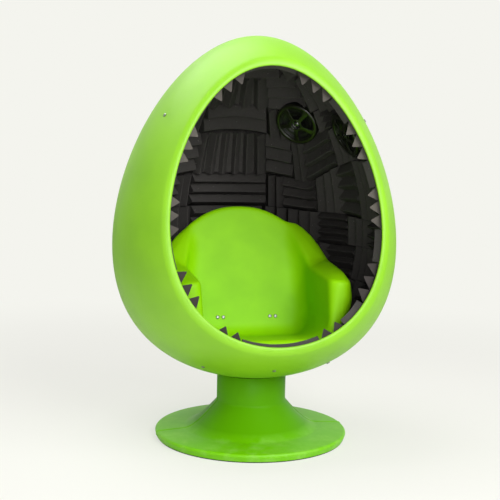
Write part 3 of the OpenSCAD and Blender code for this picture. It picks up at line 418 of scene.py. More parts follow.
screwing, given, result = plan_tree("screws along their ways", {"Outline": None} | SCREW_SIZES)
head = add(screwing, "GeometryNodeObjectInfo", {"Object": given["Outline"]}).outputs["Geometry"]
turned = revolved(screwing, head, given["Sides"])
closed = add(screwing, "GeometryNodeMergeByDistance", {"Geometry": turned, "Distance": SAME_SPOT})
socket_sizes = {"Vertices": 6, "Radius": given["Socket radius"], "Depth": given["Socket depth"]}
hexagon = add(screwing, "GeometryNodeMeshCylinder", socket_sizes)
up = add(screwing, "ShaderNodeCombineXYZ", {"Z": given["Head top"]})
raised = add(screwing, "GeometryNodeTransform", {"Geometry": hexagon, "Translation": up})
drilling = {"Mesh 1": closed, "Mesh 2": raised}
drilled = add(screwing, "GeometryNodeMeshBoolean", drilling, operation="DIFFERENCE")
way_out = add(screwing, "GeometryNodeInputNamedAttribute", {"Name": "way_out"}, data_type="FLOAT_VECTOR")
leaning = add(screwing, "FunctionNodeAlignRotationToVector", {"Vector": way_out}, axis="Z")
heads = {"Points": given["Geometry"], "Instance": drilled, "Rotation": leaning}
complete(screwing, result, add(screwing, "GeometryNodeInstanceOnPoints", heads), zinc_plate)


def screws(name, places, length, body):
    """Screws at (point, way out) places, with shanks of a length, that replace the CAD's own."""
    profile = [(0, -length), (SHANK_R, -length), (SHANK_R, SEAT_GAP), (RIM_SHARE * HEAD_R, SEAT_GAP)]
    profile += [(HEAD_R, RIM_LOW_SHARE * HEAD_T)]
    for a in range(10, 90, 16):
        crown = RIM_TOP_SHARE + (1 - RIM_TOP_SHARE) * sin(radians(a))
        profile.append((HEAD_R * cos(radians(a)), SEAT_GAP + HEAD_T * crown))
    profile += [(0, SEAT_GAP + HEAD_T)]
    spots = bpy.data.meshes.new(name)
    spots.from_pydata([tuple(point) for point, _ in places], [], [])
    ways = spots.attributes.new("way_out", "FLOAT_VECTOR", "POINT")
    ways.data.foreach_set("vector", [c for _, way in places for c in way])
    shape = outline_curve("screw_outline", profile, closed=False)
    start, sizes = scene_object("places", spots), {"Outline": shape} | SCREW_SIZES
    piece = grown(f"{name}_turned", start, screwing, HEAD_SHARP, sizes)
    bpy.data.objects.remove(shape)
    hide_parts(name)
    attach(piece, body)


BALLAST_SCREWS, BALLAST_SCREW_R, BALLAST_BITE = 6, BALLAST_RADIUS - 0.022, BALLAST_T - 0.001
ballast_places = []
for k in range(1, BALLAST_SCREWS + 1):
    a = radians(360 * k / BALLAST_SCREWS)
    spot = (BALLAST_SCREW_R * cos(a), BALLAST_SCREW_R * sin(a), PAD_T + BALLAST_T)
    ballast_places.append((spot, (0, 0, 1)))
screws("ballast_screws", ballast_places, BALLAST_BITE, "pedestal")


# Swivel: a ball race between the mast's top plate and the cast-iron saddle that cups the egg, and
# four bolts through the shell into a clamp plate. The races are ground and bright, the casting is
# rough under its paint.
race_steel = mottled("ground bearing steel", "#8d9195", "#a5a9ad", 0.3, 3, 0.01, {"Metallic": 1.0})
cast_iron = mottled("painted cast iron", "#2c2e30", "#393b3c", 0.62, 3, 0.25)
dress(["swivel_lower_race", "swivel_upper_race", "pod_clamp_plate"], race_steel)
dress(["pod_saddle"], cast_iron)
dress(["mount_bolts"], zinc_plate)

BALL_R, BALL_COUNT, RACE_RADIUS, BALL_SHARP = 0.0045, 24, 0.105, 60
balls_low, balls_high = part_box("swivel_balls")
sizes = {"Balls": BALL_COUNT, "Ball radius": BALL_R, "Circle radius": RACE_RADIUS - 3 * BALL_R}
sizes["Height"] = (balls_low.z + balls_high.z) / 2
tree, given, result = plan_tree("balls in a race", sizes)
race = {"Vertices": given["Balls"], "Radius": given["Circle radius"]}
circle = add(tree, "GeometryNodeMeshCircle", race)
up = add(tree, "ShaderNodeCombineXYZ", {"Z": given["Height"]})
raised = add(tree, "GeometryNodeTransform", {"Geometry": circle, "Translation": up})
ball = add(tree, "GeometryNodeMeshIcoSphere", {"Radius": given["Ball radius"], "Subdivisions": 4})
placed = add(tree, "GeometryNodeInstanceOnPoints", {"Points": raised, "Instance": ball})
complete(tree, result, placed, race_steel)
start = scene_object("start", bpy.data.meshes.new("start"))
balls = grown("bearing_balls", start, tree, BALL_SHARP, sizes)
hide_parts("swivel_balls")
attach(balls, "pedestal")


# Egg shell: one rotationally moulded plastic shell with its mouth cut on a slant, and the rim rolled
# inward in a bead. Its skin has the fine pebble of a blasted mould and a satin gloss.
EGG_RADIUS, EGG_HALF_H, EGG_LOW_Z = 0.523, 0.640, 0.240
EGG_MID_Z = EGG_LOW_Z + EGG_HALF_H
TAPER, SWELL, SKEW = -0.21, 0.064, -0.035
SHELL_WALL, LIP_RADIUS = 0.008, 0.011
MOUTH_LEAN, MOUTH_FORWARD, MOUTH_MID_Z = radians(10), EGG_RADIUS * 0.6386, EGG_MID_Z + EGG_HALF_H * 0.04
MOUTH_IN = Vector((0, cos(MOUTH_LEAN), -sin(MOUTH_LEAN)))
MOUTH_UP = Vector((0, sin(MOUTH_LEAN), cos(MOUTH_LEAN)))
MOUTH_MID = Vector((0, -MOUTH_FORWARD + tan(MOUTH_LEAN) * (MOUTH_MID_Z - EGG_MID_Z), MOUTH_MID_Z))
EGG_CORE = MOUTH_MID + MOUTH_FORWARD * MOUTH_IN


def egg_share(u):
    """The egg's radius at a height from -1 to 1, as a share of its base radius."""
    return sqrt(max(0, 1 - u * u)) * (1 + u * (TAPER + u * (SWELL + u * SKEW)))


def egg_r(z, inset=0):
    """The drawn-in egg's radius at a height."""
    return (EGG_RADIUS - inset) * egg_share(max(-1, min(1, (z - EGG_MID_Z) / (EGG_HALF_H - inset))))


def egg_point(turn, rise, inset=0):
    """A point of the drawn-in egg: turn from straight back and rise above its middle, in degrees."""
    u = sin(radians(rise))
    r = (EGG_RADIUS - inset) * egg_share(u)
    return Vector((r * sin(radians(turn)), r * cos(radians(turn)), EGG_MID_Z + (EGG_HALF_H - inset) * u))


def reach(start, way, inset=0):
    """From a point inside the drawn-in egg along a direction to its surface."""
    low, high = 0.0, 2 * EGG_HALF_H
    half_h = EGG_HALF_H - inset
    for _ in range(22):
        mid = (low + high) / 2
        x, y, z = start.x + way.x * mid, start.y + way.y * mid, start.z + way.z * mid
        out = abs(z - EGG_MID_Z) >= half_h or x * x + y * y > egg_r(z, inset) ** 2
        low, high = (low, mid) if out else (mid, high)
    return start + way * low


def round_mouth(angle, depth, inset=0):
    """A point at an angle round the mouth and a depth behind the mouth's plane."""
    a = radians(angle)
    return reach(MOUTH_MID + depth * MOUTH_IN, Vector((cos(a), 0, 0)) + sin(a) * MOUTH_UP, inset)


def behind_core(angle, opening, inset=0):
    """A point at an angle round the egg's core and an opening from straight back."""
    a, o = radians(angle), radians(opening)
    way = cos(o) * MOUTH_IN + sin(o) * (Vector((cos(a), 0, 0)) + sin(a) * MOUTH_UP)
    return reach(EGG_CORE, way, inset)


# The skin runs from the back's pole to the mouth, round the rolled lip, and back along the inside.
SHELL_SIDES, OPENING_STEPS, DEPTH_STEPS, LIP_STEPS, LIP_TURN = 240, 36, 16, 18, 270
openings = [90 * k / OPENING_STEPS for k in range(1, OPENING_STEPS + 1)]
depths = [1 - k / DEPTH_STEPS for k in range(1, DEPTH_STEPS)]
lip = [radians(LIP_TURN) * k / LIP_STEPS for k in range(LIP_STEPS + 1)]
shell_path = [(behind_core, o, 0) for o in openings]
shell_path += [(round_mouth, LIP_RADIUS + (MOUTH_FORWARD - LIP_RADIUS) * d, 0) for d in depths]
shell_path += [(round_mouth, LIP_RADIUS * (1 - sin(a)), LIP_RADIUS * (1 - cos(a))) for a in lip]
inner_depths = [2 * LIP_RADIUS + (MOUTH_FORWARD - 2 * LIP_RADIUS) * d for d in reversed(depths)]
shell_path += [(round_mouth, depth, SHELL_WALL) for depth in inner_depths]
shell_path += [(behind_core, o, SHELL_WALL) for o in reversed(openings)]
shell_points = [
    point_at(360 * j / SHELL_SIDES, way, inset)
    for point_at, way, inset in shell_path
    for j in range(SHELL_SIDES)
]
shell_faces = []
for i in range(len(shell_path) - 1):
    for j in range(SHELL_SIDES):
        a, b = i * SHELL_SIDES + j, i * SHELL_SIDES + (j + 1) % SHELL_SIDES
        shell_faces.append((a, b, b + SHELL_SIDES, a + SHELL_SIDES))
pole, last_ring = len(shell_points), (len(shell_path) - 1) * SHELL_SIDES
shell_points += [behind_core(0, 0, 0), behind_core(0, 0, SHELL_WALL)]
for j in range(SHELL_SIDES):
    k = (j + 1) % SHELL_SIDES
    shell_faces += [(pole, k, j), (pole + 1, last_ring + j, last_ring + k)]

# Rotomoulded polyethylene: a pebble of 5 mm grains with finer ones between, drawn coarser than the
# real one so that it shows, and a satin skin, slightly blotched where the mould was hotter.
PEBBLE_MM, FINE_PEBBLE_MM, BLOTCH_MM = 5, 2.2, 160


def pebbled_plastic(name, colour, blotch_colour, roughness, gloss, pebble_depth_mm):
    """A green moulded skin with its pebble and its blotches."""
    skin = {"IOR": 1.5, "Specular IOR Level": gloss}
    material, tree, shader, place = finish_material(name, colour, roughness, skin)
    grains = add(tree, "ShaderNodeTexNoise", spaced(place, PEBBLE_MM, Detail=1.0))
    fine = add(tree, "ShaderNodeTexNoise", spaced(place, FINE_PEBBLE_MM, Detail=0.0))
    pebble = add(tree, "ShaderNodeMath", {0: grains, 1: fine}, operation="ADD")
    bumps = {"Height": pebble, "Strength": 1.0, "Distance": pebble_depth_mm * MM}
    relief = add(tree, "ShaderNodeBump", bumps)
    blotch = add(tree, "ShaderNodeTexNoise", spaced(place, BLOTCH_MM, Detail=3.0))
    spread = add(tree, "ShaderNodeMapRange", {"Value": blotch, "From Min": 0.38, "From Max": 0.66})
    colours = {0: spread, 6: linear(colour), 7: linear(blotch_colour)}
    tint = add(tree, "ShaderNodeMix", colours, data_type="RGBA").outputs[2]
    feed(shader, {"Base Color": tint, "Normal": relief})
    return material


shell_plastic = pebbled_plastic("rotomoulded green polyethylene", "#7fbb10", "#79b40d", 0.46, 0.5, 0.35)
egg = mesh_piece("egg_shell", shell_points, shell_faces, shell_plastic)

# The shell's inside, under the foam, is a black mottled skin: a dark sheet of painted shade, so that
# the seams between the tiles show dark.
seam_shade_skin = mottled("brushed black contact adhesive", "#0f0f0e", "#1a1918", 0.7, 12, 0.2)
egg.data.materials.append(seam_shade_skin)
lip_end = len(shell_path) - OPENING_STEPS - DEPTH_STEPS + 1
shaded_inside = [i >= lip_end for i in range(len(shell_path) - 1) for _ in range(SHELL_SIDES)]
shaded_inside += [False, True] * SHELL_SIDES
egg.data.polygons.foreach_set("material_index", [int(g) for g in shaded_inside])
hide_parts("pod_shell")
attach(egg, "pod")


# Foam lining: parquet tiles of charcoal wedge foam glued inside the egg, ridges up and ridges
# across by turns, and a ring of them round the mouth whose cut ends show as teeth.
FOAM_DEPTH, FOAM_BASE, RING_BASE, WEDGE_PITCH, FOAM_GAP = 0.050, 0.012, 0.020, 0.052, 0.0024
FOAM_INSET, RING_FRONT = SHELL_WALL + 0.0012, 2 * LIP_RADIUS + 0.0019
RING_DEPTH, RING_DEPTH_LOW, LOW_ANGLE, LOW_THIN_SHARE = 0.140, 0.066, 48, 0.18
RIDGE_ROUND, STEP_DEGREES, WALL_RIDGE_SHARE, RING_RIDGE_SHARE = 0.0022, 2.5, 0.37, 0.5
STANDS, LIES, TO_RING, WIDEST_TURN = 0, 1, 200, 110
ROW_ANGLES = [-44, -30, -16, -2, 11, 27.5, 39.5, 57, 74]
# Tiles were laid askew: some seams dip beside the middle tile and climb towards the sides, and some
# arch in the middle, in degrees. Each tile is bowed and proud by a chance share of these.
SEAM_CLIMB, SEAM_ARCH = [0, 0, 0, -3, 7, 5, 0, 0, 0], [0, 0, 0, 0, 0, 1.6, 1.6, 0, 0]
SEAM_DIP = [0, 0, 0, 1.5, 2.8, 2.8, 1, 0, 0]
CLIMB_FROM, CLIMB_TO, ARCH_TURN, DIP_TO = 43, 77, 21, 60
BOWED_DEGREES, PROUD, laying = 0.6, 0.002, random.Random(7)
# For each row the middle tile as (way, half turn, wedges), then the tiles to its right as (way, the
# turn they reach, wedges). The left side mirrors them.
FOAM_ROWS = [
    [(LIES, 21, 3), (STANDS, 42, 3), (LIES, 63, 3), (STANDS, 84, 3), (LIES, TO_RING, 3)],
    [(STANDS, 18, 6), (LIES, 36, 3), (STANDS, 54, 3), (LIES, 72, 3)]
    + [(STANDS, 90, 3), (LIES, TO_RING, 3)],
    [(LIES, 18, 3), (STANDS, 30, 2), (STANDS, 48, 3), (LIES, 66, 4)]
    + [(STANDS, 84, 3), (LIES, TO_RING, 3)],
    [(LIES, 20, 3), (STANDS, 29, 2), (LIES, 47, 3), (STANDS, 63, 3), (LIES, 77, 4)]
    + [(STANDS, 96, 3), (LIES, TO_RING, 2)],
    [(STANDS, 20, 6), (LIES, 35, 3), (STANDS, 43, 2), (LIES, 64, 3)]
    + [(STANDS, 82, 3), (LIES, TO_RING, 4)],
    [(LIES, 21, 2), (STANDS, 42, 3), (STANDS, 64, 3), (LIES, 86, 3), (STANDS, TO_RING, 4)],
    [(STANDS, 23, 4), (LIES, 53, 3), (STANDS, 84, 3), (LIES, TO_RING, 3)],
    [(LIES, 40, 3), (STANDS, 80, 2), (LIES, TO_RING, 3)],
]


def wedge_tile(wedges, steps, place, base, ridge_share):
    """A tile's points and faces: a comb of wedges on a slab, whose shares across and along and
    height place() puts in space. The last faces are its sawn ends, the first end before the other."""
    outline, crest = [(1, 0), (0, 0)], FOAM_DEPTH - RIDGE_ROUND
    for k in range(wedges):
        ridge, soft = (k + ridge_share) / wedges, RIDGE_ROUND / (WEDGE_PITCH * wedges)
        outline += [(k / wedges, base), (ridge - soft, crest), (ridge + soft, crest)]
    outline.append((1, base))
    n = len(outline)
    points = [place(across, s / steps, height) for s in range(steps + 1) for across, height in outline]
    faces = []
    for s in range(steps):
        for i in range(n):
            a, b = s * n + i, s * n + (i + 1) % n
            faces.append((a, b, b + n, a + n))
    for end in (0, steps * n):
        feet = range(end + 2, end + 3 + 3 * wedges, 3)
        ends = [tuple(range(foot, foot + 4)) for foot in feet[:-1]] + [(end + 1, *feet, end)]
        faces += ends if end else [face[::-1] for face in ends]
    return points, faces


def row_cells(row):
    """The tiles of a row on both sides, as (way, from turn, to turn, wedges)."""
    way, start, wedges = FOAM_ROWS[row][0]
    cells = [(way, -start, start, wedges)]
    for way, stop, wedges in FOAM_ROWS[row][1:]:
        cells += [(way, start, stop, wedges), (way, -stop, -start, wedges)]
        start = stop
    return cells


def seam_rise(k, turn):
    """The rise of the seam below row k at a turn."""
    side = abs(turn)
    climb = max(0, min(1, (side - CLIMB_FROM) / (CLIMB_TO - CLIMB_FROM)))
    dip = min((side - ARCH_TURN) / (CLIMB_FROM - ARCH_TURN), (DIP_TO - side) / (DIP_TO - CLIMB_FROM))
    arch = SEAM_ARCH[k] * max(0, 1 - (turn / ARCH_TURN) ** 2)
    return ROW_ANGLES[k] + SEAM_CLIMB[k] * climb - SEAM_DIP[k] * max(0, dip) + arch


def ring_edge(rise, inset):
    """The turn at which the egg meets the back of the foam ring."""
    p = egg_point(90, rise, inset)
    y = (RING_DEPTH + FOAM_GAP + sin(MOUTH_LEAN) * (p.z - EGG_MID_Z)) / cos(MOUTH_LEAN) - MOUTH_FORWARD
    return degrees(acos(max(-1, min(1, y / max(0.001, p.x)))))


def tile_end(turn, rise, inset):
    """The turn at which a tile ends at a rise: its own, or where it meets the ring."""
    if abs(turn) < TO_RING:
        return turn
    return ring_edge(rise, inset) if turn > 0 else -ring_edge(rise, inset)


def wall_tile(row, way, start, stop, wedges):
    """The points and faces of a tile in a row on the wall."""
    low, high = ROW_ANGLES[row], ROW_ANGLES[row + 1]
    middle_r = EGG_RADIUS * egg_share(sin(radians((low + high) / 2)))
    rise_gap, turn_gap = (degrees(FOAM_GAP / 2 / size) for size in (EGG_HALF_H, middle_r))
    bowed, lift = laying.uniform(-BOWED_DEGREES, BOWED_DEGREES), laying.uniform(0, PROUD)

    def place(across, along, height):
        u, w = (across, along) if way == STANDS else (along, across)
        inset = FOAM_INSET + height + (lift if height > 0 else 0)
        ends = [tile_end(turn, (low + high) / 2, inset) for turn in (start, stop)]
        seams = [seam_rise(k, ends[0] + (ends[1] - ends[0]) * u) for k in (row, row + 1)]
        rise = seams[0] + rise_gap + (seams[1] - seams[0] - 2 * rise_gap) * w
        ends = [tile_end(turn, rise, inset) for turn in (start, stop)]
        turn = ends[0] + turn_gap + (ends[1] - ends[0] - 2 * turn_gap) * u
        return egg_point(turn + bowed * (w - 0.5) * 4 * u * (1 - u), rise, inset)

    width = (min(stop, WIDEST_TURN) - max(start, -WIDEST_TURN)) if way == LIES else high - low
    return wedge_tile(wedges, max(3, ceil(width / STEP_DEGREES)), place, FOAM_BASE, WALL_RIDGE_SHARE)


# Four round speakers are sunk in wells in the foam, two behind the head and one at each side: for
# each the turn from straight back and the height as a share of the egg's.
GRILLE_RADIUS, SPEAKER_DEPTH, GRILLE_H, WELL_GAP, WELL_SIDES = 0.090, 0.046, 0.012, 0.00095, 96
MAGNET_R, WELL_ROWS = 0.46 * GRILLE_RADIUS, (4, 6)
SPEAKER_INSET = SHELL_WALL + SEAT_GAP + MAGNET_R**2 / (2 * EGG_RADIUS)
SPEAKERS = {
    "rear_left": (-43, 0.556),
    "rear_right": (43, 0.556),
    "side_left": (-86, 0.4844),
    "side_right": (86, 0.4844),
}


def outward(turn, z):
    """Square to the egg's outside at a turn from straight back, in degrees, and a height."""
    slope = atan((egg_r(z + MM) - egg_r(z - MM)) / (2 * MM))
    return Vector((cos(slope) * sin(radians(turn)), cos(slope) * cos(radians(turn)), -sin(slope)))


def speaker_place(turn, share):
    """Where a speaker stands: z towards the listener and x down the wall."""
    back = egg_point(turn, degrees(asin(share)), SPEAKER_INSET)
    front = -outward(turn, EGG_MID_Z + share * EGG_HALF_H)
    side = Vector((cos(radians(turn)), -sin(radians(turn)), 0))
    return Matrix.Translation(back) @ Matrix((side.cross(front), side, front)).transposed().to_4x4()


drills, well_r = bmesh.new(), GRILLE_RADIUS + WELL_GAP
round_well = {"segments": WELL_SIDES, "radius1": well_r, "radius2": well_r, "depth": 4 * SPEAKER_DEPTH}
for turn, share in SPEAKERS.values():
    bmesh.ops.create_cone(drills, cap_ends=True, matrix=speaker_place(turn, share), **round_well)
well_mesh = bpy.data.meshes.new("wells")
drills.to_mesh(well_mesh)
drills.free()
wells = scene_object("wells", well_mesh)

# Open-cell polyurethane foam, dyed charcoal and cut on a saw: matt, porous, and holding pale dust,
# with its pores drawn coarse so that they show. The sawn ends round the mouth are a copy of it in a
# paler, warmer grey: painted light, as they face the lamps while the lining inside lies in shade.
PORE_MM, PORE_DEPTH_MM, DUST_MM, DUST_SPACING_MM, DUST_COLOUR = 1.6, 0.6, 1.5, 21, "#b9b6b2"


def open_cell_foam(name, colour):
    """A foam's material and shader, with the socket that carries its colour."""
    material, tree, shader, place = finish_material(name, colour, 0.95, {"Specular IOR Level": 0.12})
    pores = add(tree, "ShaderNodeTexNoise", spaced(place, PORE_MM, Detail=2.0))
    bumps = {"Height": pores, "Strength": 0.7, "Distance": PORE_DEPTH_MM * MM}
    relief = add(tree, "ShaderNodeBump", bumps)
    span = {"Value": pores, "From Min": 0.3, "From Max": 0.7, "To Min": 0.75, "To Max": 1.2}
    colours = {0: 1, 6: linear(colour), 7: add(tree, "ShaderNodeMapRange", span)}
    grain = add(tree, "ShaderNodeMix", colours, data_type="RGBA", blend_type="MULTIPLY").outputs[2]
    dust = add(tree, "ShaderNodeTexVoronoi", spaced(place, DUST_SPACING_MM))
    near = {0: dust.outputs["Distance"], 1: DUST_MM / 2 / DUST_SPACING_MM}
    speck = add(tree, "ShaderNodeMath", near, operation="LESS_THAN")
    colours = {0: speck, 6: grain, 7: linear(DUST_COLOUR)}
    dusty = add(tree, "ShaderNodeMix", colours, data_type="RGBA").outputs[2]
    feed(shader, {"Base Color": dusty, "Normal": relief})
    return material, shader, place, dusty


charcoal_foam = open_cell_foam("charcoal open-cell foam", "#454341")[0]
# A lighter copy of the foam for the sawn ends: painted light.
sawn_foam_painted_lit, shader, place, dusty = open_cell_foam("sawn ends of open-cell foam", "#57534e")

# Towards the top and the bottom of the mouth the sawn ends turn darker: painted shade of the lip
# that overhangs them, and low down dirt as well.
UNSHADED_ENDS_Z, UNSHADED_HALF, DARKEST_HALF, LIP_SHADE_AND_DIRT_COLOUR = 1.07, 0.17, 0.34, "#393534"
tree = sawn_foam_painted_lit.node_tree
height = add(tree, "ShaderNodeSeparateXYZ", {0: place}).outputs["Z"]
off = add(tree, "ShaderNodeMath", {0: height, 1: UNSHADED_ENDS_Z}, operation="SUBTRACT")
far = add(tree, "ShaderNodeMath", {0: off}, operation="ABSOLUTE")
marked = add(tree, "ShaderNodeMapRange", {"Value": far, "From Min": UNSHADED_HALF, "From Max": DARKEST_HALF})
colours = {0: marked, 6: dusty, 7: linear(LIP_SHADE_AND_DIRT_COLOUR)}
feed(shader, {"Base Color": add(tree, "ShaderNodeMix", colours, data_type="RGBA").outputs[2]})
FOAM_SHARP = 28


def foam_piece(name, tiles, node, drilled=False):
    """One piece of tiles, each as points, faces and the numbers of its sawn faces, with wells cut
    in it, that replaces a CAD node."""
    lining = bmesh.new()
    for points, faces, sawn in tiles:
        tile = mesh_piece("tile", points, faces, charcoal_foam)
        for face in sawn:
            tile.data.polygons[face].material_index = 1
        tidied(tile, FOAM_SHARP)
        if drilled:
            cut = tile.modifiers.new("wells", "BOOLEAN")
            cut.operation, cut.solver, cut.object = "DIFFERENCE", "EXACT", wells
        mesh = evaluated_mesh(tile)
        lining.from_mesh(mesh)
        bpy.data.objects.remove(tile)
        bpy.data.meshes.remove(mesh)
    mesh = bpy.data.meshes.new(name)
    lining.to_mesh(mesh)
    lining.free()
    for foam in (charcoal_foam, sawn_foam_painted_lit):
        mesh.materials.append(foam)
    smoothed(mesh, FOAM_SHARP)
    piece = scene_object(name, mesh)
    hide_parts(node)
    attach(piece, "pod")


# The rows in each piece, counted from below, and the CAD node that it stands for.
WALL_PIECES = {(row,): f"foam_row_{row + 1}" for row in range(5)}
WALL_PIECES |= {(5, 6): "foam_row_6", (7,): "foam_roof"}
for rows, node in WALL_PIECES.items():
    tiles = [(*wall_tile(row, *cell), []) for row in rows for cell in row_cells(row)]
    foam_piece(f"foam_tiles_{rows[-1] + 1}", tiles, node, drilled=rows[-1] in WELL_ROWS)
bpy.data.objects.remove(wells)

# Middles of the groups of cut ends, in degrees round the mouth, on the right and mirrored from the
# left, and how many ends each group has.
TOOTH_ANGLES = {1: [70.5, 37.5, 0, -38, -66.5], -1: [69, 34, -5, -41, -68]}
TOOTH_COUNT, TOOTH_STEPS = [3, 3, 3, 3, 2], 6
# On the left, between the two lowest groups, the ring is squeezed thin, and low at the front the
# tiles between the cut ends are thinner.
SQUEEZED_FROM, SQUEEZED_TO, SQUEEZED_SHARE = 230, 244, 0.5


def mouth_r(angle):
    """The radius of the ring's front on the shell at an angle."""
    return (round_mouth(angle, RING_FRONT, 2 * LIP_RADIUS) - MOUTH_MID - RING_FRONT * MOUTH_IN).length


def ring_down(angle):
    """How far an angle lies into the low front of the ring, which is shallower and thinner."""
    low = sin(radians(LOW_ANGLE))
    return min(1, 3 * max(0, -sin(radians(angle)) - low) / (1 - low))


def group_span(side, k):
    """From and to angle of one group of cut ends."""
    middle = TOOTH_ANGLES[side][k]
    half = degrees(TOOTH_COUNT[k] * WEDGE_PITCH / 2 / mouth_r(middle))
    return middle - half, middle + half


def ring_tile(way, low, high, wedges):
    """A tile of the ring between two angles, with the numbers of its faces that show as teeth."""
    squeezed = way == LIES and SQUEEZED_FROM < (low + high) / 2 % 360 < SQUEEZED_TO
    gap = degrees(FOAM_GAP / 2 / mouth_r(90))

    def place(across, along, height):
        u, w = (across, along) if way == STANDS else (along, across)
        angle = low + gap + (high - low - 2 * gap) * u
        down = ring_down(angle)
        back = RING_DEPTH - (RING_DEPTH - RING_DEPTH_LOW) * down
        depth = RING_FRONT + (back - FOAM_GAP - RING_FRONT) * w
        thinner = (1 - LOW_THIN_SHARE * down) * (SQUEEZED_SHARE if squeezed else 1)
        return round_mouth(angle, depth, FOAM_INSET + height * thinner)

    steps = TOOTH_STEPS if way == STANDS else ceil((high - low) / STEP_DEGREES)
    points, faces = wedge_tile(wedges, steps, place, RING_BASE, RING_RIDGE_SHARE)
    teeth = range(len(faces) - 2 * (wedges + 1), len(faces) - (wedges + 1))
    return points, faces, teeth if way == STANDS else []


ring_cells = []
for side in (1, -1):
    groups = [group_span(side, k) for k in range(len(TOOTH_COUNT))]
    spans = [(STANDS, low, high, count) for (low, high), count in zip(groups, TOOTH_COUNT)]
    spans += [(LIES, lower[1], upper[0], 2) for upper, lower in zip(groups, groups[1:])]
    ring_cells += spans if side > 0 else [(way, 180 - b, 180 - a, count) for way, a, b, count in spans]
ring_cells.append((LIES, group_span(1, 0)[1], 180 - group_span(-1, 0)[1], 2))
ring_cells.append((LIES, -180 - group_span(-1, -1)[0], group_span(1, -1)[0], 1))
foam_piece("foam_mouth_ring", [ring_tile(*cell) for cell in ring_cells], "foam_ring")


# Speakers: each has a black glossy trim ring with five flat spokes and a hub round a small domed
# tweeter, over a ribbed paper cone with a rubber surround. The magnet and the basket stand on the
# shell.
BAR_T, SPOKE_COUNT, SPOKE_ANGLE, SPEAKER_SIDES, TURNED_SHARP = 0.003, 5, radians(133), 96, 35
TWEETER_R, CONE_R = 0.2 * GRILLE_RADIUS, 0.885 * GRILLE_RADIUS

# Clear-coated black acrylic with an olive tint that is a painted reflection of the green seat and
# shell, polished foil, coated paper that hardly shines, and blackened steel.
coat = {"Coat Weight": 0.25, "Coat Roughness": 0.06}
# The trim's olive tint is a painted reflection of the green seat and shell.
trim_plastic_reflection_tinted = mottled("piano-black acrylic trim", "#1d2011", "#14150f", 0.3, 14, 0.01, coat)
dome_foil = mottled("polished dark tweeter foil", "#5c605a", "#6d716b", 0.14, 9, 0.01, {"Metallic": 0.8})
cone_paper = mottled("coated black cone paper", "#0c0c0b", "#141412", 0.45, 1.5, 0.08)
driver_steel = mottled("blackened pressed steel", "#1d1e20", "#26282a", 0.5, 4, 0.04, {"Metallic": 0.6})
for place_name in SPEAKERS:
    dress([f"{place_name}_magnet", f"{place_name}_basket"], driver_steel)

SPOKE_WIDTH, SPOKE_T, SPOKE_SOFT_R, SPOKE_BOW = 0.026, 0.004, 0.0018, 0.002
SPOKE_LAP, SPOKE_DROP, SPOKE_SINK = 0.005, 0.004, 0.0005
SPOKE_ROOT, SPOKE_WAIST, SPOKE_TIP = (0, 0.62), (0.45, 0.6), (1, 1.0)
HUB_IN, HUB_OUT, HUB_ROUND, HUB_EDGE, HUB_BULGE = 0.0192, 0.0262, 0.001, 0.0015, 0.0006
RING_CROWN, ring_in, ring_top = 0.006, 0.8 * GRILLE_RADIUS, SPEAKER_DEPTH + GRILLE_H
ring_mid, ring_half = (GRILLE_RADIUS + ring_in) / 2, (GRILLE_RADIUS - ring_in) / 2
hub_top = ring_top + BAR_T
trim_ring = [(GRILLE_RADIUS, SPEAKER_DEPTH + SEAT_GAP)]
for a in range(0, 181, 12):
    r = ring_mid + ring_half * cos(radians(a))
    trim_ring.append((r, ring_top - RING_CROWN * (1 - sin(radians(a)))))
trim_ring += [(ring_in, SPEAKER_DEPTH + SEAT_GAP)]
hub_ring = [
    (HUB_IN, ring_top - HUB_ROUND),
    (HUB_OUT, ring_top - HUB_EDGE),
    (HUB_OUT + HUB_BULGE, ring_top + HUB_EDGE),
    (HUB_OUT - HUB_ROUND, hub_top),
    (HUB_IN + 2 * HUB_ROUND, hub_top),
    (HUB_IN, hub_top - HUB_EDGE),
]

sizes = {"Sides": SPEAKER_SIDES, "Spokes": SPOKE_COUNT, "First spoke": SPOKE_ANGLE}
sizes |= {"Spoke width": SPOKE_WIDTH, "Spoke thickness": SPOKE_T}
sizes |= {"Hub reach": HUB_OUT - 2 * HUB_ROUND, "Hub height": ring_top + SPOKE_T / 2 - SPOKE_SINK}
sizes |= {"Ring reach": ring_in + SPOKE_LAP, "Ring height": ring_top - SPOKE_DROP}
tree, given, result = plan_tree("trim ring with spokes", {"Hub": None} | sizes)
ring = revolved(tree, given["Geometry"], given["Sides"])
hub_line = add(tree, "GeometryNodeObjectInfo", {"Object": given["Hub"]}).outputs["Geometry"]
hub = revolved(tree, hub_line, given["Sides"])
inner = add(tree, "ShaderNodeCombineXYZ", {"X": given["Hub reach"], "Z": given["Hub height"]})
outer = add(tree, "ShaderNodeCombineXYZ", {"X": given["Ring reach"], "Z": given["Ring height"]})
both = add(tree, "ShaderNodeVectorMath", {0: inner, 1: outer}, operation="ADD")
halfway = add(tree, "ShaderNodeVectorMath", {0: both, "Scale": 0.5}, operation="SCALE")
bowed = add(tree, "ShaderNodeVectorMath", {0: halfway, 1: (0, 0, SPOKE_BOW)}, operation="ADD")
spine_places = {"Start": inner, "Middle": bowed, "End": outer, "Resolution": 14}
spine = add(tree, "GeometryNodeCurveQuadraticBezier", spine_places)
bar_sizes = {"Width": given["Spoke width"], "Height": given["Spoke thickness"]}
bar = add(tree, "GeometryNodeCurvePrimitiveQuadrilateral", bar_sizes)
corners = {"Curve": bar, "Radius": SPOKE_SOFT_R, "Count": 4}
soft_bar = add(tree, "GeometryNodeFilletCurve", corners, mode="POLY")
along = add(tree, "GeometryNodeSplineParameter").outputs["Factor"]
waist = add(tree, "ShaderNodeFloatCurve", {"Value": along})
widths = waist.mapping.curves[0].points
widths[0].location, widths[1].location = SPOKE_ROOT, SPOKE_TIP
widths.new(*SPOKE_WAIST)
waist.mapping.update()
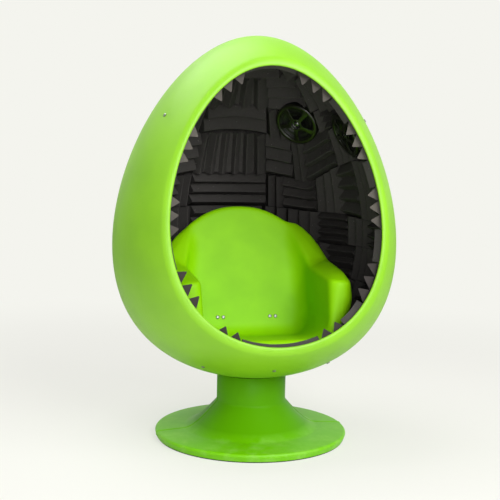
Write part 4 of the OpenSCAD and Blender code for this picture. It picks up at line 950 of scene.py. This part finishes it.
beam_line = {"Curve": spine, "Profile Curve": soft_bar, "Scale": waist, "Fill Caps": True}
beam = add(tree, "GeometryNodeCurveToMesh", beam_line)
count = add(tree, "GeometryNodePoints", {"Count": given["Spokes"]})
index = add(tree, "GeometryNodeInputIndex")
share = add(tree, "ShaderNodeMath", {0: index, 1: given["Spokes"]}, operation="DIVIDE")
angle = {0: share, 1: 2 * pi, 2: given["First spoke"]}
fan = add(tree, "ShaderNodeMath", angle, operation="MULTIPLY_ADD")
turn = add(tree, "ShaderNodeCombineXYZ", {"Z": fan})
spokes = add(tree, "GeometryNodeInstanceOnPoints", {"Points": count, "Instance": beam, "Rotation": turn})
joined = add(tree, "GeometryNodeJoinGeometry")
for part in (ring, hub, spokes):
    feed(joined, {"Geometry": part})
complete(tree, result, joined, trim_plastic_reflection_tinted)
hub_outline = outline_curve("hub_outline", hub_ring)
trim_sizes = {"Hub": hub_outline} | sizes
trim = grown("trim", outline_curve("ring_outline", trim_ring), tree, TURNED_SHARP, trim_sizes)
bpy.data.objects.remove(hub_outline)

# The cone, from the voice coil out: ribbed paper, then the rolled rubber surround, as one thin skin.
magnet_top = 0.42 * SPEAKER_DEPTH
CONE_LOW_Z, CONE_SINK, CONE_POWER, CONE_STEPS = magnet_top + 2 * BAR_T, 0.0015, 0.8, 40
RIB_RISE, RIBS, SKIN_T, SURROUND_H = 0.0007, 3, 0.0008, 0.005
coil_r, surround_r = 0.184 * GRILLE_RADIUS, 0.82 * CONE_R
cone_rise = SPEAKER_DEPTH - CONE_SINK - CONE_LOW_Z
cone_line = []
for k in range(CONE_STEPS + 1):
    s = k / CONE_STEPS
    rib = RIB_RISE * sin(2 * pi * RIBS * s)
    cone_line.append((coil_r + (surround_r - coil_r) * s, CONE_LOW_Z + cone_rise * s**CONE_POWER + rib))
for a in range(10, 180, 14):
    r = 0.91 * CONE_R - 0.09 * CONE_R * cos(radians(a))
    cone_line.append((r, SPEAKER_DEPTH + SURROUND_H * sin(radians(a))))
cone_line += [(CONE_R, SPEAKER_DEPTH + SEAT_GAP)]
cone_section = cone_line + [(r, z - SKIN_T) for r, z in reversed(cone_line)]

# The tweeter: a post on the magnet, a flat frame with a raised edge, and the dome in it.
post_r, post_low = 0.3 * MAGNET_R, magnet_top + BAR_T + 2 * SEAT_GAP
FRAME_H, FRAME_EDGE_H, FRAME_EDGE_T, dome_low = 0.003, 0.004, 0.0012, SPEAKER_DEPTH + 0.0026
dome_frame_r, dome_r, dome_h = 0.8 * TWEETER_R, 0.78 * TWEETER_R, 0.5 * TWEETER_R
dome_line = [(0, post_low), (post_r, post_low), (post_r, SPEAKER_DEPTH), (TWEETER_R, SPEAKER_DEPTH)]
dome_line += [(TWEETER_R, SPEAKER_DEPTH + FRAME_H)]
dome_line += [(TWEETER_R - FRAME_EDGE_T, SPEAKER_DEPTH + FRAME_EDGE_H), (dome_frame_r, dome_low)]
for a in range(0, 90, 6):
    dome_line.append((dome_r * cos(radians(a)), dome_low + dome_h * sin(radians(a))))
dome_line += [(0, dome_low + dome_h)]


def turned_part(name, section, material, closed):
    """A part turned from a half section by its own small tree."""
    sizes = {"Sides": SPEAKER_SIDES}
    tree, given, result = plan_tree(name, sizes)
    complete(tree, result, revolved(tree, given["Geometry"], given["Sides"]), material)
    return grown(name, outline_curve(name, section, closed), tree, TURNED_SHARP, sizes)


cone = turned_part("cone_paper", cone_section, cone_paper, True)
dome = turned_part("dome", dome_line, dome_foil, False)
SPEAKER_PARTS = [(trim, "grille", "gloss"), (cone, "cone", "cone"), (dome, "tweeter", "dome")]
for place_name, (turn, share) in SPEAKERS.items():
    for model, node, slot in SPEAKER_PARTS:
        mesh = model.data.copy()
        mesh.transform(speaker_place(turn, share))
        piece = scene_object(f"{place_name}_{model.name}", mesh)
        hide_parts(f"{place_name}_{node}")
        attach(piece, "pod")
for model in (trim, cone, dome):
    bpy.data.objects.remove(model)


# Seat: a hollow moulded bucket in brighter, smoother green plastic. An arched back, a shallow pan,
# two armrests and the wings between them run into each other in broad fillets. It is screwed to two
# brackets on the clamp plate, and through the shell at its front.
PAN_R, BACK_R, EDGE_R, ARM_R, NOSE_R, SEAT_CLEARANCE = 0.028, 0.020, 0.016, 0.022, 0.042, 0.008
BASE_HALF_W, SHOULDER_HALF_W = 0.478 * EGG_RADIUS, 0.4245 * EGG_RADIUS
PAN_FRONT_Z, PAN_REAR_Z = EGG_MID_Z - 0.7031 * EGG_HALF_H, EGG_MID_Z - 0.7891 * EGG_HALF_H
BACK_FOOT_Y, BACK_TOP_Y = 0.1262 * EGG_RADIUS, 0.4685 * EGG_RADIUS
BACK_TOP_Z = EGG_MID_Z - 0.0141 * EGG_HALF_H
ARM_INNER_X, ARM_OUTER_X, ARM_FRONT_Y = 0.4551 * EGG_RADIUS, 0.631 * EGG_RADIUS, 0.4054 * EGG_RADIUS
mouth_y = MOUTH_FORWARD + tan(MOUTH_LEAN) * (EGG_MID_Z - PAN_FRONT_Z)
PAN_FRONT_Y = mouth_y - RING_DEPTH_LOW / cos(MOUTH_LEAN) - SEAT_CLEARANCE
BACK_LEAN = atan((BACK_TOP_Y - BACK_FOOT_Y) / (BACK_TOP_Z - PAN_REAR_Z))
SEAT_LOW_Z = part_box("seat_shell")[0].z


def back_y(z):
    """Depth of the backrest's front face at a height."""
    return BACK_FOOT_Y + (z - PAN_REAR_Z) * tan(BACK_LEAN)


def soft_block(body, places, r):
    """The closed form that is stretched over balls of one radius."""
    balls = bmesh.new()
    for place in places:
        bmesh.ops.create_icosphere(balls, subdivisions=3, radius=r, matrix=Matrix.Translation(place))
    bmesh.ops.convex_hull(balls, input=balls.verts)
    hidden = [v for v in balls.verts if not v.link_faces]
    bmesh.ops.delete(balls, geom=hidden, context="VERTS")
    block = bpy.data.meshes.new("block")
    balls.to_mesh(block)
    balls.free()
    body.from_mesh(block)
    bpy.data.meshes.remove(block)


def bow(start, bend, stop, steps):
    """Points on the curve from start to stop that bends towards a third point."""
    for k in range(steps + 1):
        first, second = Vector(start).lerp(bend, k / steps), Vector(bend).lerp(stop, k / steps)
        yield tuple(first.lerp(second, k / steps))


pan_x, shoulder_x, pan_low_z = BASE_HALF_W - PAN_R, SHOULDER_HALF_W - BACK_R, PAN_REAR_Z - PAN_R
pan_half = [(pan_x, PAN_R - PAN_FRONT_Y, PAN_FRONT_Z - PAN_R), (pan_x, BACK_FOOT_Y, pan_low_z)]
pan_half += [(pan_x, y, SEAT_LOW_Z + PAN_R) for y in (2 * PAN_R - PAN_FRONT_Y, BACK_FOOT_Y)]

# The backrest's top is an arch that drops ever faster towards its shoulders. Each ball touches the
# back's front face from behind.
ARCH_STEPS, ARCH_DROP, ARCH_HALF_W, ARCH_POWER = 8, 0.046, 0.165, 2.3
arch = [(shoulder_x, pan_low_z - BACK_R)]
for k in range(ARCH_STEPS + 1):
    x = shoulder_x * k / ARCH_STEPS
    arch.append((x, BACK_TOP_Z - BACK_R - ARCH_DROP * (x / ARCH_HALF_W) ** ARCH_POWER))
back_half = [(x, back_y(z) + BACK_R / cos(BACK_LEAN), z) for x, z in arch]

# A wing is an ear that leans out as it comes down from the shoulder to the armrest. The left one was
# trimmed a little lower: for the right and the left its top, its bend, and its height at the back.
WING_EDGES = [
    ((0.232, 0.240, 0.788), (0.292, 0.215, 0.752), 0.792),
    ((0.222, 0.235, 0.764), (0.270, 0.205, 0.736), 0.776),
]
WING_END, WING_BACK_X, WING_BACK_Y, WING_STEPS = (0.325, 0.135, 0.660), 0.205, 0.232, 7
WING_FOOT = [(0.326, 0.100, 0.642), (0.262, 0.092, 0.640), (0.262, 0.120, 0.450), (0.310, 0.140, 0.500)]
wings = []
for top, bend, back_z in WING_EDGES:
    wings.append([*bow(top, bend, WING_END, WING_STEPS), (WING_BACK_X, WING_BACK_Y, back_z), *WING_FOOT])

# An armrest has a round nose and falls forward, and outward at its front. Its outer side tucks in
# below, at heights and widths where the middles of its edge's balls lie.
ARM_REAR_TOP, ARM_REAR_TILT, ARM_FRONT_TOP, ARM_FRONT_TILT = 0.648, 0.18, 0.628, -0.08
ARM_SIDE = [(0.557, 0.318), (0.526, 0.312), (0.499, 0.298), (0.478, 0.276)]
NOSE_SLOPE, ARM_CROWN, CROWN_SHARES = 0.14, 0.014, (0.25, 0.5, 0.75)
arm_rear_y, nose_y, nose_turn = BACK_FOOT_Y + 2 * BACK_R, NOSE_R - ARM_FRONT_Y, NOSE_R - EDGE_R
arm_edge_x = ARM_OUTER_X - EDGE_R


def arm_level(outer_x, rear_x, height, forward=0):
    """Middles of the balls round an armrest at one level, with the height at each place."""
    places = [(ARM_INNER_X + EDGE_R, arm_rear_y), (rear_x, arm_rear_y)]
    for middle_x, start in ((ARM_INNER_X + NOSE_R, 180), (outer_x - nose_turn, 270)):
        for a in range(start, start + 91, 18):
            y = nose_y - forward + nose_turn * sin(radians(a))
            places.append((middle_x + nose_turn * cos(radians(a)), y))
    return [(x, y, height(x, y)) for x, y in places]


def arm_top(x, y):
    """Height of the balls under the armrest's top at a place."""
    forward = (arm_rear_y - y) / (arm_rear_y + ARM_FRONT_Y)
    rear = ARM_REAR_TOP + ARM_REAR_TILT * (x - ARM_INNER_X)
    front = ARM_FRONT_TOP + ARM_FRONT_TILT * (x - ARM_INNER_X)
    return rear + (front - rear) * forward - EDGE_R


armrest = arm_level(arm_edge_x, ARM_OUTER_X, arm_top)
for share in CROWN_SHARES:
    y = arm_rear_y + (nose_y - arm_rear_y) * share
    armrest.append((arm_edge_x, y, arm_top(arm_edge_x, y) + ARM_CROWN))
for z, x in ARM_SIDE:
    armrest += arm_level(x, x, lambda *_: z, NOSE_SLOPE * (ARM_FRONT_TOP - z))
skirt = [(x, y, z) for x, y, z in armrest if z < ARM_SIDE[-2][0]]
skirt += [(pan_x, ARM_R - ARM_FRONT_Y, pan_low_z), (pan_x, BACK_FOOT_Y, pan_low_z)]


def mirrored(places):
    """The same places on the other side."""
    return [(-x, y, z) for x, y, z in places]


seat_blocks = bmesh.new()
soft_block(seat_blocks, pan_half + mirrored(pan_half), PAN_R)
soft_block(seat_blocks, back_half + mirrored(back_half), BACK_R)
for right, left in (wings, (armrest, armrest), (skirt, skirt)):
    soft_block(seat_blocks, right, EDGE_R)
    soft_block(seat_blocks, mirrored(left), EDGE_R)
seat_mesh = bpy.data.meshes.new("seat_bucket")
seat_blocks.to_mesh(seat_mesh)
seat_blocks.free()

# The blocks are fused into one skin, swollen and shrunk again by the radius of the fillets, which
# fills the inner corners with them and leaves the outer edges where they were, and then smoothed.
# Each step has its swelling, as a share of the radius, and its smoothing passes.
FILLET_R, SKIN_VOXEL, SHELL_CLEARANCE = 0.052, 0.005, 0.0006
SKIN_STEPS = [(0, 2), (0.5, 2), (0.5, 2), (-0.5, 2), (-0.5, 6)]
rough_seat = scene_object("rough_seat", seat_mesh)
for swell, smoothings in SKIN_STEPS:
    if swell:
        swelling = rough_seat.modifiers.new("swell", "DISPLACE")
        swelling.strength, swelling.mid_level = swell * FILLET_R, 0
    skin = rough_seat.modifiers.new("skin", "REMESH")
    skin.mode, skin.voxel_size = "VOXEL", SKIN_VOXEL
    smoothing = rough_seat.modifiers.new("smooth", "SMOOTH")
    smoothing.factor, smoothing.iterations = 0.5, smoothings
seat_mesh = evaluated_mesh(rough_seat)
bpy.data.objects.remove(rough_seat)
for v in seat_mesh.vertices:
    r, room_r = sqrt(v.co.x**2 + v.co.y**2), egg_r(v.co.z, SHELL_WALL + SHELL_CLEARANCE)
    if r > room_r:
        v.co.x, v.co.y = v.co.x * room_r / r, v.co.y * room_r / r
    v.co.z = max(v.co.z, SEAT_LOW_Z)

# Rotomoulded polyethylene again, a lighter green than the pedestal, with the faint orange peel of a
# polished mould and hardly any gloss.
seat_plastic = pebbled_plastic("bright green polyethylene", "#87ca00", "#7fc000", 0.5, 0.16, 0.16)
seat_mesh.materials.clear()
seat_mesh.materials.append(seat_plastic)
seat = tidied(scene_object("seat_bucket", seat_mesh), 180)
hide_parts("seat_shell")
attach(seat, "pod")
dress(["seat_bracket_left", "seat_bracket_right"], race_steel)

SEAT_SCREW_Z, SEAT_SCREW_SHARES, SCREW_BITE = EGG_MID_Z - 0.678 * EGG_HALF_H, (0.376, 0.468), 0.006
seat_way, seat_places = (0, -cos(BACK_LEAN), sin(BACK_LEAN)), []
for side in (-1, 1):
    for share in SEAT_SCREW_SHARES:
        seat_places.append(((side * share * BASE_HALF_W, back_y(SEAT_SCREW_Z), SEAT_SCREW_Z), seat_way))
screws("seat_screws", seat_places, SCREW_BITE, "pod")


# Screws through the shell, zinc-plated like the others and driven in square to its skin: three low
# at the front hold the seat from below, and one high at each side holds the foam liner's frame.
SHELL_SCREW_Z, SHELL_SCREW_TURNS = EGG_MID_Z - 0.8719 * EGG_HALF_H, (180, 133, 227)
LINER_SCREW_Z, LINER_SCREW_TURNS = EGG_MID_Z + 0.5219 * EGG_HALF_H, (112, -112)


def on_shell(turn, z):
    """A screw's place on the shell at a turn and a height, and its way out."""
    return egg_point(turn, degrees(asin((z - EGG_MID_Z) / EGG_HALF_H))), outward(turn, z)


shell_places = [on_shell(turn, SHELL_SCREW_Z) for turn in SHELL_SCREW_TURNS]
liner_places = [on_shell(turn, LINER_SCREW_Z) for turn in LINER_SCREW_TURNS]
screws("shell_screws", shell_places, SHELL_WALL + SCREW_BITE, "pod")
screws("liner_screws", liner_places, SHELL_WALL, "pod")
